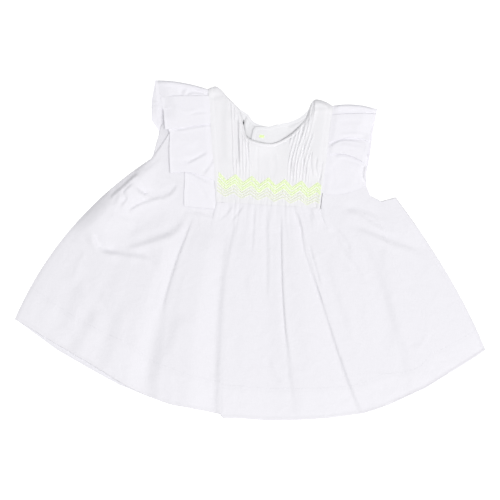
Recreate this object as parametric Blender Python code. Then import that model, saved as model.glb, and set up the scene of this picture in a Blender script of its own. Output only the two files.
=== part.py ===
"""A toddler's pinafore dress, laid flat on its back on a table.

The cloth pieces are closed walls. Two panels lie on the table one over the other, the yoke and the
pleated ruffles lie on them, and the gathers and folds stand up from the table.

The tables are in millimetres on the flat garment: x runs to the viewer's right from the centre front,
y runs up towards the neck from the smocked seam, z is the height of the cloth's underside.
"""

import math

import bpy
import numpy as np
from mathutils import Matrix, Vector

MM = 0.001

# The garment's own origin, seen from the middle of its outline, in millimetres.
CENTRE_FRONT_X = 3.0
SMOCKED_SEAM_Y = 84.0

# Cloth.
WALL = 1.0
GAP = 0.4
LAYER = WALL + GAP
HEM_WALL = 1.4
HEM_STARTS = 0.86
# Edges bent more than this many degrees are crisp.
SHARP_ANGLE = 22

# Heights of the cloth's underside where the panels lie flat on each other.
BACK_Z = 0.0
INNER_BACK_Z = BACK_Z + LAYER
FRONT_Z = BACK_Z + LAYER
YOKE_Z = INNER_BACK_Z + LAYER
BACK_RUFFLE_Z = BACK_Z + WALL / 2
RUFFLE_Z = YOKE_Z + LAYER + WALL / 2

# The yoke: its lower seam, its side seams and its shoulders.
YOKE_LEFT_LOW, YOKE_RIGHT_LOW = (-64.0, -22.0), (66.0, -15.0)
YOKE_LEFT_TOP, YOKE_RIGHT_TOP = (-90.0, 117.0), (68.0, 113.0)
REEDS = 35
REED_HEIGHT = 1.0
TUCK_HEIGHT = 0.9
SMOCKING_TOP = 11.0
SMOCKING_ZIGZAG = 20.0
# The shoulders, outside these places, turn down at their fold.
SHOULDERS, SHOULDER_TURN = (-62.0, 42.0), 5.0
# Tucks stand on these shares of the yoke's width.
TUCKED = ((0.10, 0.34), (0.62, 0.92))
TUCK_ROWS = (0, 0.05, 0.14, 0.28, 0.5, 0.8, 0.96)
BAND_ROWS = (0, 0.2, 0.4, 0.6, 0.8, 1)

# The back neck button, under both ends of the back yoke.
BUTTON_X, BUTTON_Y = -18.0, 64.0
BUTTON_RADIUS, BUTTON_HEIGHT, BUTTON_FLOOR = 5.5, 1.7, 0.3
BUTTON_RIM, BUTTON_RIM_HEIGHT, BUTTON_ROUND = 1.4, 0.5, 0.5
BUTTON_SIDES = 24
BUTTON_LIFT = BUTTON_FLOOR + BUTTON_HEIGHT + GAP
BUTTON_TENT = 22.0
BUTTON_SLACK = 0.12

# The skirt's gathers stand under the smocking, and fade out this share of the way down.
GATHER_HEIGHT = 1.5
GATHER_STARTS, GATHER_FADE = 0.03, 0.42
JOIN_FADE = 0.16

# Front neck and shoulders, left to right.
FRONT_NECK = (
    YOKE_LEFT_TOP, (-79, 121), (-63.5, 109), (-50, 97.5), (-44, 86), (-40, 74), (-35, 63), (-24, 59),
    (-10, 57.5), (2, 60), (18, 71), (29, 84), (37, 98), (39.5, 111), (45, 119), (57, 118), YOKE_RIGHT_TOP,
)
# Back neck and shoulders, left to right.
BACK_NECK = (
    (-89, 116), (-79, 120), (-64, 107.5), (-48, 97), (-37, 91.5), (-30, 84), (-22, 80.3), (-10, 78.5),
    (-2, 81.5), (16, 88.5), (28, 95.5), (38, 106), (46, 116), (57, 116), (67, 112),
)
# The rounded end of the inner half of the back yoke, from the neck down.
PLACKET_END = (
    (-21, 77.2), (-25, 76.4), (-27.3, 74), (-28.5, 69), (-29, 62), (-29.5, 54), (-30, 42), (-31, -1.5),
)
# Where the outer half of the back yoke ends under the inner half, and how soon that one comes down.
OUTER_END_X = 2.0
OUTER_END_RAMP, OUTER_END_CLEAR = 14.0, 0.2
BACK_YOKE_SIDES, BACK_YOKE_LOW_Y = (-88.0, 66.0), -2.0
BACK_YOKE_ROWS = (0, 0.06, 0.13, 0.21, 0.3, 0.42, 0.7, 1)
PLACKET_COLUMNS, PLACKET_ROW_POWER, INNER_NECK_INSET = 5, 1.4, 0.5

# Folds of the front skirt, left to right. Each runs from the top of the panel through a middle point to
# the hem, and stands so far off the panel's flat height there.
SKIRT_FRONT = (
    # name,         top x, y,   middle x, y,  hem x, y,    z top, middle, hem, columns to the next
    ("side left",     -135,    51, -231.5,   -63, -298,   -197, 0.0, 0.0, 0.0, 2),
    ("roll",          -131,    57,   -217,   -70, -285,   -202, 0.0, 1.2, 0.6, 2),
    ("armhole",       -125,    66,   -198,   -80, -262,   -213, 0.0, 2.2, 1.4, 4),
    ("crumple",       -112,    84,   -175,   -87, -228,   -228, 0.0, 3.3, 2.3, 4),
    ("hump",           -97,    95,   -152,   -90, -194,   -243, 0.0, 5.0, 3.6, 4),
    ("ridge",          -80,    35,   -126,  -100, -152,   -263, 0.0, 6.4, 5.0, 2),
    ("foot a",         -74,     4,   -112,  -127, -127,   -272, 0.0, 3.6, 1.8, 2),
    ("crest a",        -71,    -6,   -103,  -131, -104,   -278, 0.0, 5.4, 5.0, 2),
    ("hill a",       -67.4,   -16,    -90,  -137,  -88,   -281, 0.0, 6.4, 6.2, 2),
    ("ridge b",      -64.6,   -23,    -74,  -147,  -70,   -282, 0.3, 7.2, 7.0, 4),
    ("foot b",         -46, -21.4,    -48,  -150,  -37,   -285, 0.3, 2.8, 2.6, 1),
    ("crest b",        -42, -21.2,    -41,  -150,  -29, -285.5, 0.3, 4.4, 4.6, 2),
    ("rise b",         -35, -20.8,    -34,  -152,  -25,   -290, 0.3, 4.8, 5.0, 4),
    ("hill b",         -20,   -20,    -17,  -152,   -6,   -288, 0.3, 4.6, 4.6, 4),
    ("valley b",        -1,   -19,     13,  -152,   32, -286.5, 0.3, 4.0, 4.0, 3),
    ("foot c",          17,   -18,   34.5,  -150,   62, -282.5, 0.3, 5.4, 4.6, 1),
    ("crest c",       19.5, -17.9,   37.5,  -150,   73,   -281, 0.3, 7.4, 5.8, 3),
    ("hill d",          29, -17.4,     60,  -149,  104, -275.5, 0.3, 7.0, 5.6, 3),
    ("foot d",          36,   -17,     87,  -148,  142,   -266, 0.3, 5.6, 4.4, 1),
    ("crest d",         39, -16.8,     90,  -147,  149,   -264, 0.3, 7.2, 6.0, 3),
    ("right hill",      55,   -16,    108,  -140,  165,   -257, 0.3, 6.6, 6.0, 3),
    ("corner",        66.8, -15.8,    126,  -130,  183,   -248, 0.3, 5.6, 5.6, 3),
    ("foot e",        67.8,    40,    156,  -120,  199,   -238, 0.0, 4.2, 4.8, 2),
    ("crest e",       68.6,    62,    167,  -115,  210,   -231, 0.0, 5.8, 5.2, 2),
    ("strip",           72,    66,    173,  -110,  222,   -224, 0.0, 5.7, 4.9, 3),
    ("under ruffle",   119,    22,    180,  -105,  244,   -207, 0.0, 5.5, 4.5, 2),
    ("armhole low",  126.5,   7.5,    190,  -108,  255, -198.5, 0.0, 4.0, 3.0, 2),
    ("underarm",       141,     2,    228,   -88,  281,   -178, 0.5, 2.5, 1.0, 2),
    ("side right",     159,     9,  236.5, -82.5,  292,   -168, 0.0, 0.0, 0.0, 0),
)

# Where the lines nearest the left underarm pass it, so far down each, and how high they stand there.
FRONT_PASSES, BACK_PASSES = 0.12, 0.15
AT_UNDERARM_FRONT = {
    # name: x, y, z
    "side left": (-151.5, 22, 0.0),
    "roll": (-142, 22, 1.0),
    "armhole": (-135, 29, 0.8),
}
AT_UNDERARM_BACK = {
    "side left": (-150.5, 19, 0.0),
    "armhole": (-140, 24, 0.0),
}

# The back skirt is cut alike and lies flat. Its hem shows below the front's at the lower left.
SKIRT_BACK = (
    # name, top x, y, middle x, y, hem x, y, z top, middle, hem, columns to the next
    ("side left",     -143,   66,  -229,  -64,  -296, -197.5, 0, 0, 0, 3),
    ("armhole",       -135,   72,  -195,  -84,  -241,   -229, 0, 0, 0, 3),
    ("hem shows",     -120,   79,  -160,  -90,  -190,   -251, 0, 0, 0, 3),
    ("strip left",     -92,   88,  -140, -100,  -160,   -263, 0, 0, 0, 2),
    ("seam left",      -78,   35,  -115, -125,  -120, -274.5, 0, 0, 0, 2),
    ("corner left",    -66, -2.4,   -75, -145,   -80,   -278, 0, 0, 0, 5),
    ("centre",           0, -2.4,    10, -150,    20,   -284, 0, 0, 0, 5),
    ("corner right",    66, -2.4,   115, -135,   160,   -252, 0, 0, 0, 3),
    ("strip right",     72,   62,   162, -116,   205,   -227, 0, 0, 0, 3),
    ("under ruffle",   117,   21,   178, -107,   236,   -210, 0, 0, 0, 2),
    ("armhole low",    126,    5,   190, -110,   253,   -197, 0, 0, 0, 2),
    ("underarm",       141,    0,   227,  -90,   278,   -178, 0, 0, 0, 1),
    ("side right",   157.5,    7, 234.5,  -83, 289.5,   -168, 0, 0, 0, 0),
)
SKIRT_ROWS = (0, 0.035, 0.08, 0.12, 0.18, 0.24, 0.3, 0.36, 0.43, 0.5, 0.58, 0.67, 0.76, 0.84, 0.87, 0.94, 1)
BACK_ROWS = (0, 0.08, 0.15, 0.22, 0.33, 0.5, 0.75, 1)

# Where the side strips climb over the back ruffles.
STRIP_LEFT_X, STRIP_RIGHT_X, STRIP_SIDE = -66.0, 66.0, 6.0
STRIP_RAMP_LOW, STRIP_RAMP_HIGH = -34.0, -8.0
FRONT_AHEAD, FRONT_LOWER = 6.0, 14.0

# Creases that cross the left of the front skirt: the crease sinks by depth inside its half width.
CREASES = (
    # name,       from x, y,    through x, y,  to x, y,      depth, half width
    ("long curve",  -103, -46, -133, -73, -177,  -92, 3.0, 11),
    ("hook",        -207, -78, -197, -97, -136, -102, 4.0, 12),
    ("armhole",     -169, -44, -146, -29, -114,   -8, 1.6,  9),
    ("loop",          88, -44,  112, -72,  134, -104, 2.5,  9),
    ("upper right",  104, -11,  150, -34,  196,  -60, 2.0, 10),
)

# The ruffles, from their hidden end up the back, over the shoulder and down the pleated front. Each row is
# a line from the seam, at this y, to the outer edge, bowed up between them. The cloth turns back there
# where the row says so, to the next row's height.
RUFFLE_LEFT = (
    # name,        seam y, outer x, y, bow, z, turns back
    ("back end",     10,   -128,  12, 0, BACK_RUFFLE_Z,              False),
    ("back",         55,   -147,  60, 0, BACK_RUFFLE_Z,              False),
    ("back lap",     72,   -156,  70, 0, BACK_RUFFLE_Z,              False),
    ("back upper",   92,   -159,  94, 0, BACK_RUFFLE_Z,              False),
    ("shoulder",    114,   -157, 118, 3, BACK_RUFFLE_Z,              True),
    ("under box",    92,   -150,  86, 0, RUFFLE_Z,                   True),
    ("box top",     108,   -147, 100, 0, RUFFLE_Z + LAYER,           True),
    ("box middle",   92,   -142,  82, 0, RUFFLE_Z + 2 * LAYER + 0.6, False),
    ("box bottom",   75, -137.5,  61, 0, RUFFLE_Z + 2 * LAYER,       True),
    ("below box",    86,   -139,  73, 0, RUFFLE_Z + LAYER,           True),
    ("panel top",    70,   -131,  56, 0, RUFFLE_Z,                   False),
    ("panel",        38,   -129,  32, 0, RUFFLE_Z + 2.4,             False),
    ("panel edge",    4,   -125,   8, 5, RUFFLE_Z + 2 * LAYER,       True),
    ("below panel",  16,   -108,  19, 4, RUFFLE_Z + LAYER,           True),
    ("end top",       0,   -106,   3, 2, RUFFLE_Z,                   False),
    ("end middle",  -16,   -105, -15, 0, RUFFLE_Z + 0.8,             False),
    ("end",         -31,   -103, -32, 0, RUFFLE_Z + 0.9,             False),
)
RUFFLE_RIGHT = (
    ("back end",       12,   118,    20,   0, BACK_RUFFLE_Z,              False),
    ("back",           60,   121,    60,   0, BACK_RUFFLE_Z,              False),
    ("back upper",     90, 121.5,    90,   0, BACK_RUFFLE_Z,              False),
    ("shoulder",    111.5,   123, 113.5, 3.5, BACK_RUFFLE_Z,              True),
    ("under box",      90,   121,    98,   0, RUFFLE_Z,                   True),
    ("box top",       101,   123,   109,   1, RUFFLE_Z + LAYER,           True),
    ("box middle",     84,   119,    95,   0, RUFFLE_Z + 2 * LAYER + 0.6, False),
    ("box bottom",     67,   117,    75,   6, RUFFLE_Z + 2 * LAYER,       True),
    ("below box",      77,   119,    86,   5, RUFFLE_Z + LAYER,           True),
    ("strip top",    65.5,   118,  72.5,   5, RUFFLE_Z,                   False),
    ("strip rise",   59.5, 116.5,    61, 5.5, RUFFLE_Z + 2 * LAYER,       False),
    ("strip edge",     52,   115,    47,   6, RUFFLE_Z + 2 * LAYER,       True),
    ("below strip",  57.5,   118,    55,   5, RUFFLE_Z + LAYER,           True),
    ("panel top",      48,   118,    42,   2, RUFFLE_Z,                   False),
    ("panel",          27, 119.5,    31,   0, RUFFLE_Z + 0.8,             False),
    ("end",             4,   120,    20,  -6, RUFFLE_Z + 0.2,             False),
)
# The front skirt stays flat under the ruffles: left, right, low end of each place, and how soon it rises.
COVERED = ((-132.0, -60.0, -40.0), (62.0, 126.0, -4.0))
COVER_RAMP = 46.0
# The skirt's left side rolls up along its edge: how high, how wide, how far on it levels out, from and to.
SIDE_ROLL, SIDE_ROLL_WIDTH, SIDE_ROLL_LEVELS = 9.0, 15.0, 42.0
SIDE_ROLL_SPAN = (0.11, 0.20, 0.44, 0.62)
RUFFLE_COLUMNS = 7
TURN_STEPS = 4
SEAM_CLEAR = 1.2

COTTON = (0.86, 0.87, 0.90, 1.0)
PEARL = (0.90, 0.89, 0.85, 1.0)


def clear_scene():
    for old in list(bpy.data.objects):
        bpy.data.objects.remove(old, do_unlink=True)


def cloth(name, colour=COTTON, roughness=0.85):
    material = bpy.data.materials.new(name)
    material.use_nodes = True
    surface = material.node_tree.nodes["Principled BSDF"]
    surface.inputs["Base Color"].default_value = colour
    surface.inputs["Roughness"].default_value = roughness
    surface.inputs["Metallic"].default_value = 0.0
    return material


def ease(share):
    """0 to 1 with flat ends."""
    share = np.clip(share, 0.0, 1.0)
    return share * share * (3.0 - 2.0 * share)


def mix(a, b, share):
    return a + (b - a) * share


def through(top, middle, end, share):
    """A smooth run through three values, at 0, a half and 1."""
    first = top * (1 - share) * (1 - 2 * share)
    return first + middle * 4 * share * (1 - share) + end * share * (2 * share - 1)


def route_at(values, passes, share):
    """Straight from the first value to the second, at passes, then smoothly through a half and 1."""
    top, near, middle, end = values
    from_near, from_middle, from_end = share - passes, share - 0.5, share - 1.0
    smooth = near * from_middle * from_end / ((passes - 0.5) * (passes - 1.0))
    smooth += middle * from_near * from_end / ((0.5 - passes) * -0.5)
    smooth += end * from_near * from_middle / ((1.0 - passes) * 0.5)
    return np.where(share < passes, mix(top, near, share / passes), smooth)


def across(route, x):
    """The height of a route, left to right, at x."""
    return np.interp(x, [point[0] for point in route], [point[1] for point in route])


def button_lift(x, y, layer):
    """How far the cloth over the button is lifted, a little more in each layer over it."""
    away = np.hypot(x - BUTTON_X, y - BUTTON_Y) - BUTTON_RADIUS - 1.5
    top = BUTTON_LIFT * (1.0 + BUTTON_SLACK * layer)
    return top * (1.0 - ease(away / (BUTTON_TENT + layer - BUTTON_RADIUS)))


def crease_depth(x, y):
    """How far the creases that cross the front skirt press it down."""
    depth = np.zeros_like(x)
    for _, ax, ay, bx, by, cx, cy, deep, half in CREASES:
        shares = np.linspace(0.0, 1.0, 25)
        away = np.full_like(x, 1e9)
        fade = np.zeros_like(x)
        for share in shares:
            here = np.hypot(x - through(ax, bx, cx, share), y - through(ay, by, cy, share))
            nearer = here < away
            away = np.where(nearer, here, away)
            fade = np.where(nearer, ease(min(share, 1.0 - share) * 5.0), fade)
        depth = np.maximum(depth, deep * fade * (1.0 - ease(away / half)))
    return depth


def thickened(lower, wall):
    """The outer points of a wall over these inner ones, straight up but as thick on a slope."""
    down = np.gradient(lower, axis=0)
    along = np.gradient(lower, axis=1)
    normal = np.cross(down, along)
    steep = np.linalg.norm(normal, axis=2) / np.maximum(np.abs(normal[:, :, 2]), 1e-9)
    upper = lower.copy()
    upper[:, :, 2] += wall * np.minimum(steep, 1.6)
    return upper


def closed_wall(name, lower, upper, material):
    """One closed body between two grids of points, which are alike in rows and columns."""
    rows, columns = lower.shape[:2]
    count = rows * columns
    points = np.concatenate([upper.reshape(-1, 3), lower.reshape(-1, 3)])
    number = np.arange(count).reshape(rows, columns)
    faces = []
    for i in range(rows - 1):
        for j in range(columns - 1):
            quad = (number[i, j], number[i + 1, j], number[i + 1, j + 1], number[i, j + 1])
            if math.dist(points[quad[1]], points[quad[3]]) < math.dist(points[quad[0]], points[quad[2]]):
                quad = quad[1:] + quad[:1]
            for half in ((quad[0], quad[1], quad[2]), (quad[0], quad[2], quad[3])):
                faces.append(half)
                faces.append(tuple(count + corner for corner in reversed(half)))
    edge = list(number[:, 0]) + list(number[-1, 1:]) + list(number[-2::-1, -1]) + list(number[0, -2:0:-1])
    for a, b in zip(edge, edge[1:] + edge[:1]):
        faces.append((b, a, count + a, count + b))
    return solid(name, points, faces, material)


def solid(name, points, faces, material):
    """An object made from garment millimetres, with its faces turned outwards."""
    placed = (np.asarray(points, float) + (CENTRE_FRONT_X, SMOCKED_SEAM_Y, 0.0)) * MM
    turned = 0.0
    for face in faces:
        for second, third in zip(face[1:], face[2:]):
            turned += np.linalg.det(placed[[face[0], second, third]])
    if turned < 0:
        faces = [tuple(reversed(face)) for face in faces]
    mesh = bpy.data.meshes.new(name)
    mesh.from_pydata([tuple(point) for point in placed], [], [tuple(map(int, face)) for face in faces])
    mesh.materials.append(material)
    mesh.shade_smooth()
    mesh.set_sharp_from_angle(angle=math.radians(SHARP_ANGLE))
    body = bpy.data.objects.new(name, mesh)
    bpy.context.collection.objects.link(body)
    return body


def strip_climb(x, y, ahead=0.0, lower=0.0):
    """The side strips lie one layer up, on the back ruffles. The upper panel climbs sooner."""
    left, right = STRIP_LEFT_X + ahead, STRIP_RIGHT_X - ahead
    beside = np.maximum(ease((left - x) / STRIP_SIDE + 1), ease((x - right) / STRIP_SIDE + 1))
    return LAYER * beside * ease((y + lower - STRIP_RAMP_LOW) / (STRIP_RAMP_HIGH - STRIP_RAMP_LOW))


def covered(x, y):
    """1 where a ruffle lies on the front skirt, 0 clear of it."""
    share = np.zeros_like(x)
    for left, right, low in COVERED:
        inside = np.minimum(np.minimum(x - left, right - x), y - low)
        share = np.maximum(share, ease((inside + COVER_RAMP) / COVER_RAMP))
    return share


def fan(lines, rows, at_underarm, passes):
    """The grid between fold lines: x, y and the height off the flat panel. Columns fan out to the hem."""
    down = np.array(rows)
    table = []
    for name, top_x, top_y, middle_x, middle_y, hem_x, hem_y, top_z, middle_z, hem_z, _ in lines:
        routes = ((top_x, middle_x, hem_x), (top_y, middle_y, hem_y), (top_z, middle_z, hem_z))
        near = at_underarm.get(name, [through(*route, passes) for route in routes])
        table.append([(start, by, middle, end) for (start, middle, end), by in zip(routes, near)])
    table = np.array(table, float)
    columns = []
    for here, after, line in zip(table, table[1:], lines):
        for step in range(line[10]):
            columns.append((here, after, step / line[10]))
    columns.append((table[-1], table[-1], 0.0))
    grid = np.zeros((len(rows), len(columns), 3))
    for j, (here, after, share) in enumerate(columns):
        grid[:, j, 0] = route_at(mix(here[0], after[0], share), passes, down)
        grid[:, j, 1] = route_at(mix(here[1], after[1], share), passes, down)
        lift = route_at(mix(here[2], after[2], ease(share)), passes, down)
        grid[:, j, 2] = np.maximum(0.0, lift)
    return grid


def side_roll(x, y, down):
    """How far the left side rolls up: steeply from its edge, then gently down again."""
    from_side = np.hypot(x - x[:, :1], y - y[:, :1])
    starts, full, fades, ends = SIDE_ROLL_SPAN
    along_side = ease((down - starts) / (full - starts)) * (1.0 - ease((down - fades) / (ends - fades)))
    rolled = np.sin(np.clip(from_side / SIDE_ROLL_WIDTH, 0, 1) * 1.2) / math.sin(1.2)
    rolled *= 1.0 - ease((from_side - SIDE_ROLL_WIDTH) / SIDE_ROLL_LEVELS)
    return SIDE_ROLL * rolled * along_side


def make_skirt_back(material):
    lower = fan(SKIRT_BACK, BACK_ROWS, AT_UNDERARM_BACK, BACK_PASSES)
    lower[:, :, 2] = BACK_Z + strip_climb(lower[:, :, 0], lower[:, :, 1])
    closed_wall("skirt_back", lower, thickened(lower, WALL), material)


def make_skirt_front(material):
    lower = fan(SKIRT_FRONT, SKIRT_ROWS, AT_UNDERARM_FRONT, FRONT_PASSES)
    x, y, lift = lower[:, :, 0], lower[:, :, 1], lower[:, :, 2]
    down = np.array(SKIRT_ROWS)[:, None]
    top_x = lower[0, :, 0]
    gathered = (top_x > YOKE_LEFT_LOW[0]) & (top_x < YOKE_RIGHT_LOW[0]) & (lower[0, :, 1] < 0)
    wave = np.where(np.arange(lower.shape[1]) % 2, 1.0, -1.0) * gathered
    gathers = GATHER_HEIGHT * (0.5 + 0.5 * wave) * gathered * (1.0 - ease(down / GATHER_FADE))
    free = 1.0 - covered(x, y)
    lift = np.maximum(0.0, lift - crease_depth(x, y)) * free + side_roll(x, y, down) * free
    lift += gathers * ease(down / GATHER_STARTS)
    join = (YOKE_Z - FRONT_Z) * gathered * (1.0 - ease(down / JOIN_FADE))
    lower[:, :, 2] = FRONT_Z + strip_climb(x, y, FRONT_AHEAD, FRONT_LOWER) + lift + join
    upper = thickened(lower, WALL)
    hem = np.array(SKIRT_ROWS) > HEM_STARTS
    upper[hem] = thickened(lower, HEM_WALL)[hem]
    closed_wall("skirt_front", lower, upper, material)


def yoke_columns(shares, seam, neck):
    """Straight lines from the lower seam up to the neck, leaning with the side seams."""
    bottoms = [mix(np.array(seam[0]), np.array(seam[1]), share) for share in shares]
    heads = [mix(np.array(neck[0]), np.array(neck[-1]), share) for share in shares]
    tops = []
    for bottom, head in zip(bottoms, heads):
        reach = np.linspace(0.3, 1.2, 400)
        line = mix(bottom, head, reach[:, None])
        above = line[:, 1] >= across(neck, line[:, 0])
        tops.append(line[np.argmax(above)] if above.any() else line[-1])
    return np.array(bottoms), np.array(tops)


def make_yoke_front(material):
    shares = np.linspace(0.0, 1.0, 2 * REEDS + 1)
    bottoms, tops = yoke_columns(shares, (YOKE_LEFT_LOW, YOKE_RIGHT_LOW), FRONT_NECK)
    lean = (tops - bottoms) / (tops - bottoms)[:, 1:]
    band = bottoms + lean * (SMOCKING_TOP - bottoms[:, 1:])
    rows = [mix(tops, band, share) for share in TUCK_ROWS]
    rows += [mix(band, bottoms, share) for share in BAND_ROWS]
    lower = np.zeros((len(rows), len(shares), 3))
    lower[:, :, :2] = rows
    x, y = lower[:, :, 0], lower[:, :, 1]
    shoulder = (x < SHOULDERS[0]) | (x > SHOULDERS[1])
    turn = ease((y - across(FRONT_NECK, x[0]) + SHOULDER_TURN) / SHOULDER_TURN) * shoulder
    lower[:, :, 2] = YOKE_Z + button_lift(x, y, 2) - (YOKE_Z - FRONT_Z) * turn
    upper = thickened(lower, WALL)
    ridge = np.arange(len(shares)) % 2 == 1
    tucked = np.zeros(len(shares), bool)
    for start, end in TUCKED:
        tucked |= (shares > start) & (shares < end)
    for i in range(1, len(rows)):
        if i < len(TUCK_ROWS):
            upper[i, :, 2] += TUCK_HEIGHT * (ridge & tucked)
        else:
            zigzag = np.cos(2 * np.pi * x[i] / SMOCKING_ZIGZAG + i * np.pi)
            upper[i, :, 2] += REED_HEIGHT * (0.7 + 0.3 * zigzag) * ridge
    closed_wall("yoke_front", lower, upper, material)


def make_yoke_back(material):
    """The outer half lies under, the inner half over it with its rounded end in the neck."""
    left, low_left = BACK_YOKE_SIDES[0], YOKE_LEFT_LOW[0]
    tops_x = np.concatenate([np.linspace(left, -50, 6), np.linspace(-45, OUTER_END_X, 11)])
    feet_x = mix(low_left, OUTER_END_X, (tops_x - left) / (OUTER_END_X - left))
    depths = np.array(BACK_YOKE_ROWS)[:, None]
    x = mix(tops_x, feet_x, depths)
    y = mix(across(BACK_NECK, tops_x), BACK_YOKE_LOW_Y, depths)
    lower = np.dstack([x, y, BACK_Z + button_lift(x, y, 0)])
    closed_wall("yoke_back_outer", lower, thickened(lower, WALL), material)

    end_x, end_y = np.array(PLACKET_END, float).T[:, :, None]
    tops_x = np.concatenate([np.linspace(-10, 24, 9), np.linspace(28, BACK_YOKE_SIDES[1], 7)])
    depths = np.linspace(0.0, 1.0, len(PLACKET_END))[:, None] ** PLACKET_ROW_POWER
    x = mix(tops_x, tops_x - 1.0, depths)
    y = mix(across(BACK_NECK, tops_x) - INNER_NECK_INSET, BACK_YOKE_LOW_Y, depths)
    reach = np.linspace(1.0, 0.0, PLACKET_COLUMNS, endpoint=False)
    x = np.hstack([mix(x[:, :1], end_x, reach), x])
    y = np.hstack([mix(y[:, :1], end_y, reach), y])
    step_down = 1.0 - ease((x - OUTER_END_X) / OUTER_END_RAMP - OUTER_END_CLEAR)
    lower = np.dstack([x, y, BACK_Z + (INNER_BACK_Z - BACK_Z) * step_down + button_lift(x, y, 1)])
    closed_wall("yoke_back_inner", lower, thickened(lower, WALL), material)


def seam_x(low, top, y):
    """Where the yoke's side seam is at this height. It runs straight on below the yoke."""
    return mix(low[0], top[0], (y - low[1]) / (top[1] - low[1]))


def ruffle_path(rows, seam, clear):
    """The middle of the ruffle's cloth: a row of points for each section, with round turns between."""
    share = np.linspace(0.0, 1.0, RUFFLE_COLUMNS)[:, None]
    plans = []
    for _, iy, ox, oy, bow, z, turns in rows:
        line = mix(np.array([seam_x(*seam, iy) + clear, iy]), np.array([ox, oy], float), share)
        line[:, 1] += bow * 4 * share[:, 0] * (1 - share[:, 0])
        plans.append((line, z, turns))
    path = []
    for k, (line, z, turns) in enumerate(plans):
        if not turns:
            path.append(np.column_stack([line, np.full(RUFFLE_COLUMNS, z)]))
            continue
        after = plans[k + 1][1]
        edge = np.gradient(line, axis=0)
        edge /= np.linalg.norm(edge, axis=1)[:, None]
        heading = line - plans[k - 1][0]
        heading -= edge * np.sum(heading * edge, axis=1)[:, None]
        heading /= np.linalg.norm(heading, axis=1)[:, None]
        rise = RUFFLE_Z - BACK_RUFFLE_Z if z < 1 else math.copysign(LAYER, after - z)
        for step in range(TURN_STEPS + 1):
            angle = math.pi * step / TURN_STEPS
            out = heading * abs(rise) / 2 * math.sin(angle)
            height = z + rise * (1 - math.cos(angle)) / 2
            path.append(np.column_stack([line + out, np.full(RUFFLE_COLUMNS, height)]))
    return np.array(path)


def make_ruffle(name, rows, seam, clear, material):
    middle = ruffle_path(rows, seam, clear)
    runs = np.diff(middle, axis=0)
    runs /= np.linalg.norm(runs, axis=2)[:, :, None]
    down = np.concatenate([runs[:1], runs[1:] + runs[:-1], runs[-1:]])
    along = np.gradient(middle, axis=1)
    normal = np.cross(down, along)
    normal /= np.linalg.norm(normal, axis=2)[:, :, None]
    closed_wall(name, middle - normal * WALL / 2, middle + normal * WALL / 2, material)


def make_button(material):
    """A round button, thicker at its rim, turned from its half section."""
    low, high = BUTTON_FLOOR, BUTTON_FLOOR + BUTTON_HEIGHT
    rounded, well = BUTTON_RADIUS - BUTTON_ROUND, BUTTON_RADIUS - BUTTON_RIM
    section = (
        (rounded, low), (BUTTON_RADIUS, low + BUTTON_ROUND), (BUTTON_RADIUS, high - BUTTON_ROUND),
        (rounded, high), (well, high), (well - BUTTON_ROUND, high - BUTTON_RIM_HEIGHT),
    )
    sides = BUTTON_SIDES
    points = []
    for radius, z in section:
        for k in range(sides):
            spoke = Matrix.Rotation(2 * math.pi * k / sides, 2) @ Vector((radius, 0.0))
            points.append((BUTTON_X + spoke.x, BUTTON_Y + spoke.y, z))
    faces = [tuple(reversed(range(sides))), tuple(range(len(points) - sides, len(points)))]
    for ring in range(len(section) - 1):
        for k in range(sides):
            a, b = ring * sides + k, ring * sides + (k + 1) % sides
            faces.append((a, b, b + sides, a + sides))
    solid("button_back", points, faces, material)


def main():
    clear_scene()
    make_skirt_back(cloth("skirt cotton"))
    make_skirt_front(cloth("skirt cotton front"))
    make_yoke_back(cloth("back yoke cotton"))
    make_yoke_front(cloth("front yoke cotton"))
    left_seam, right_seam = (YOKE_LEFT_LOW, YOKE_LEFT_TOP), (YOKE_RIGHT_LOW, YOKE_RIGHT_TOP)
    make_ruffle("ruffle_left", RUFFLE_LEFT, left_seam, -SEAM_CLEAR, cloth("left ruffle cotton"))
    make_ruffle("ruffle_right", RUFFLE_RIGHT, right_seam, SEAM_CLEAR, cloth("right ruffle cotton"))
    make_button(cloth("button shell", PEARL, 0.35))


main()
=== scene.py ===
"""A toddler's pinafore dress, laid flat on its back: thin cotton, smocked, pleated and hemmed.

The tables are in millimetres on the flat garment: x runs to the viewer's right from the centre front,
y runs up towards the neck from the smocked seam, z is height over the table.
"""

import math

import bpy
import numpy as np
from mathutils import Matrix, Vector


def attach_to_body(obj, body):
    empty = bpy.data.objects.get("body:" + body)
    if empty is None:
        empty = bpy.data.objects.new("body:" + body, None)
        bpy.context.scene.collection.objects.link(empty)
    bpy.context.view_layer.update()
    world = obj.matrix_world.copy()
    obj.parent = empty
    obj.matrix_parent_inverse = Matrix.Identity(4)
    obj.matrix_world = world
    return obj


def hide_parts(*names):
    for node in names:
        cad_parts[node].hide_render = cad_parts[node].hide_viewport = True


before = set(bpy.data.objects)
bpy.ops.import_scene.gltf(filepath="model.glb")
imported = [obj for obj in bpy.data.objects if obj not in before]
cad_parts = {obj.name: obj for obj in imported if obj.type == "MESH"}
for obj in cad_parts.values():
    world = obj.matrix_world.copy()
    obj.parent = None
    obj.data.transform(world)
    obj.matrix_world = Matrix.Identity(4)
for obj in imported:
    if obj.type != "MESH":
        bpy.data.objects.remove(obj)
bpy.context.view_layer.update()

MM = 0.001
CENTRE_FRONT_X, SMOCKED_SEAM_Y = 3.0, 84.0

# Cloth: the solids' walls and how far apart their layers lie, and the thin cotton on their upper sides.
WALL, LAYER = 1.0, 1.4
COTTON, DOUBLED, DOUBLED_FADE = 0.45, 0.85, 0.8
SHARP_EDGE = 60.0

# The undersides of the walls, and the lowest that the cloth of the front and any other cloth may lie.
FRONT_Z, YOKE_Z = 1.4, 2.8
BACK_RUFFLE_Z, RUFFLE_Z = 0.5, 4.7
LOWEST_FRONT, LOWEST = 1.45, 0.02

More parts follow.
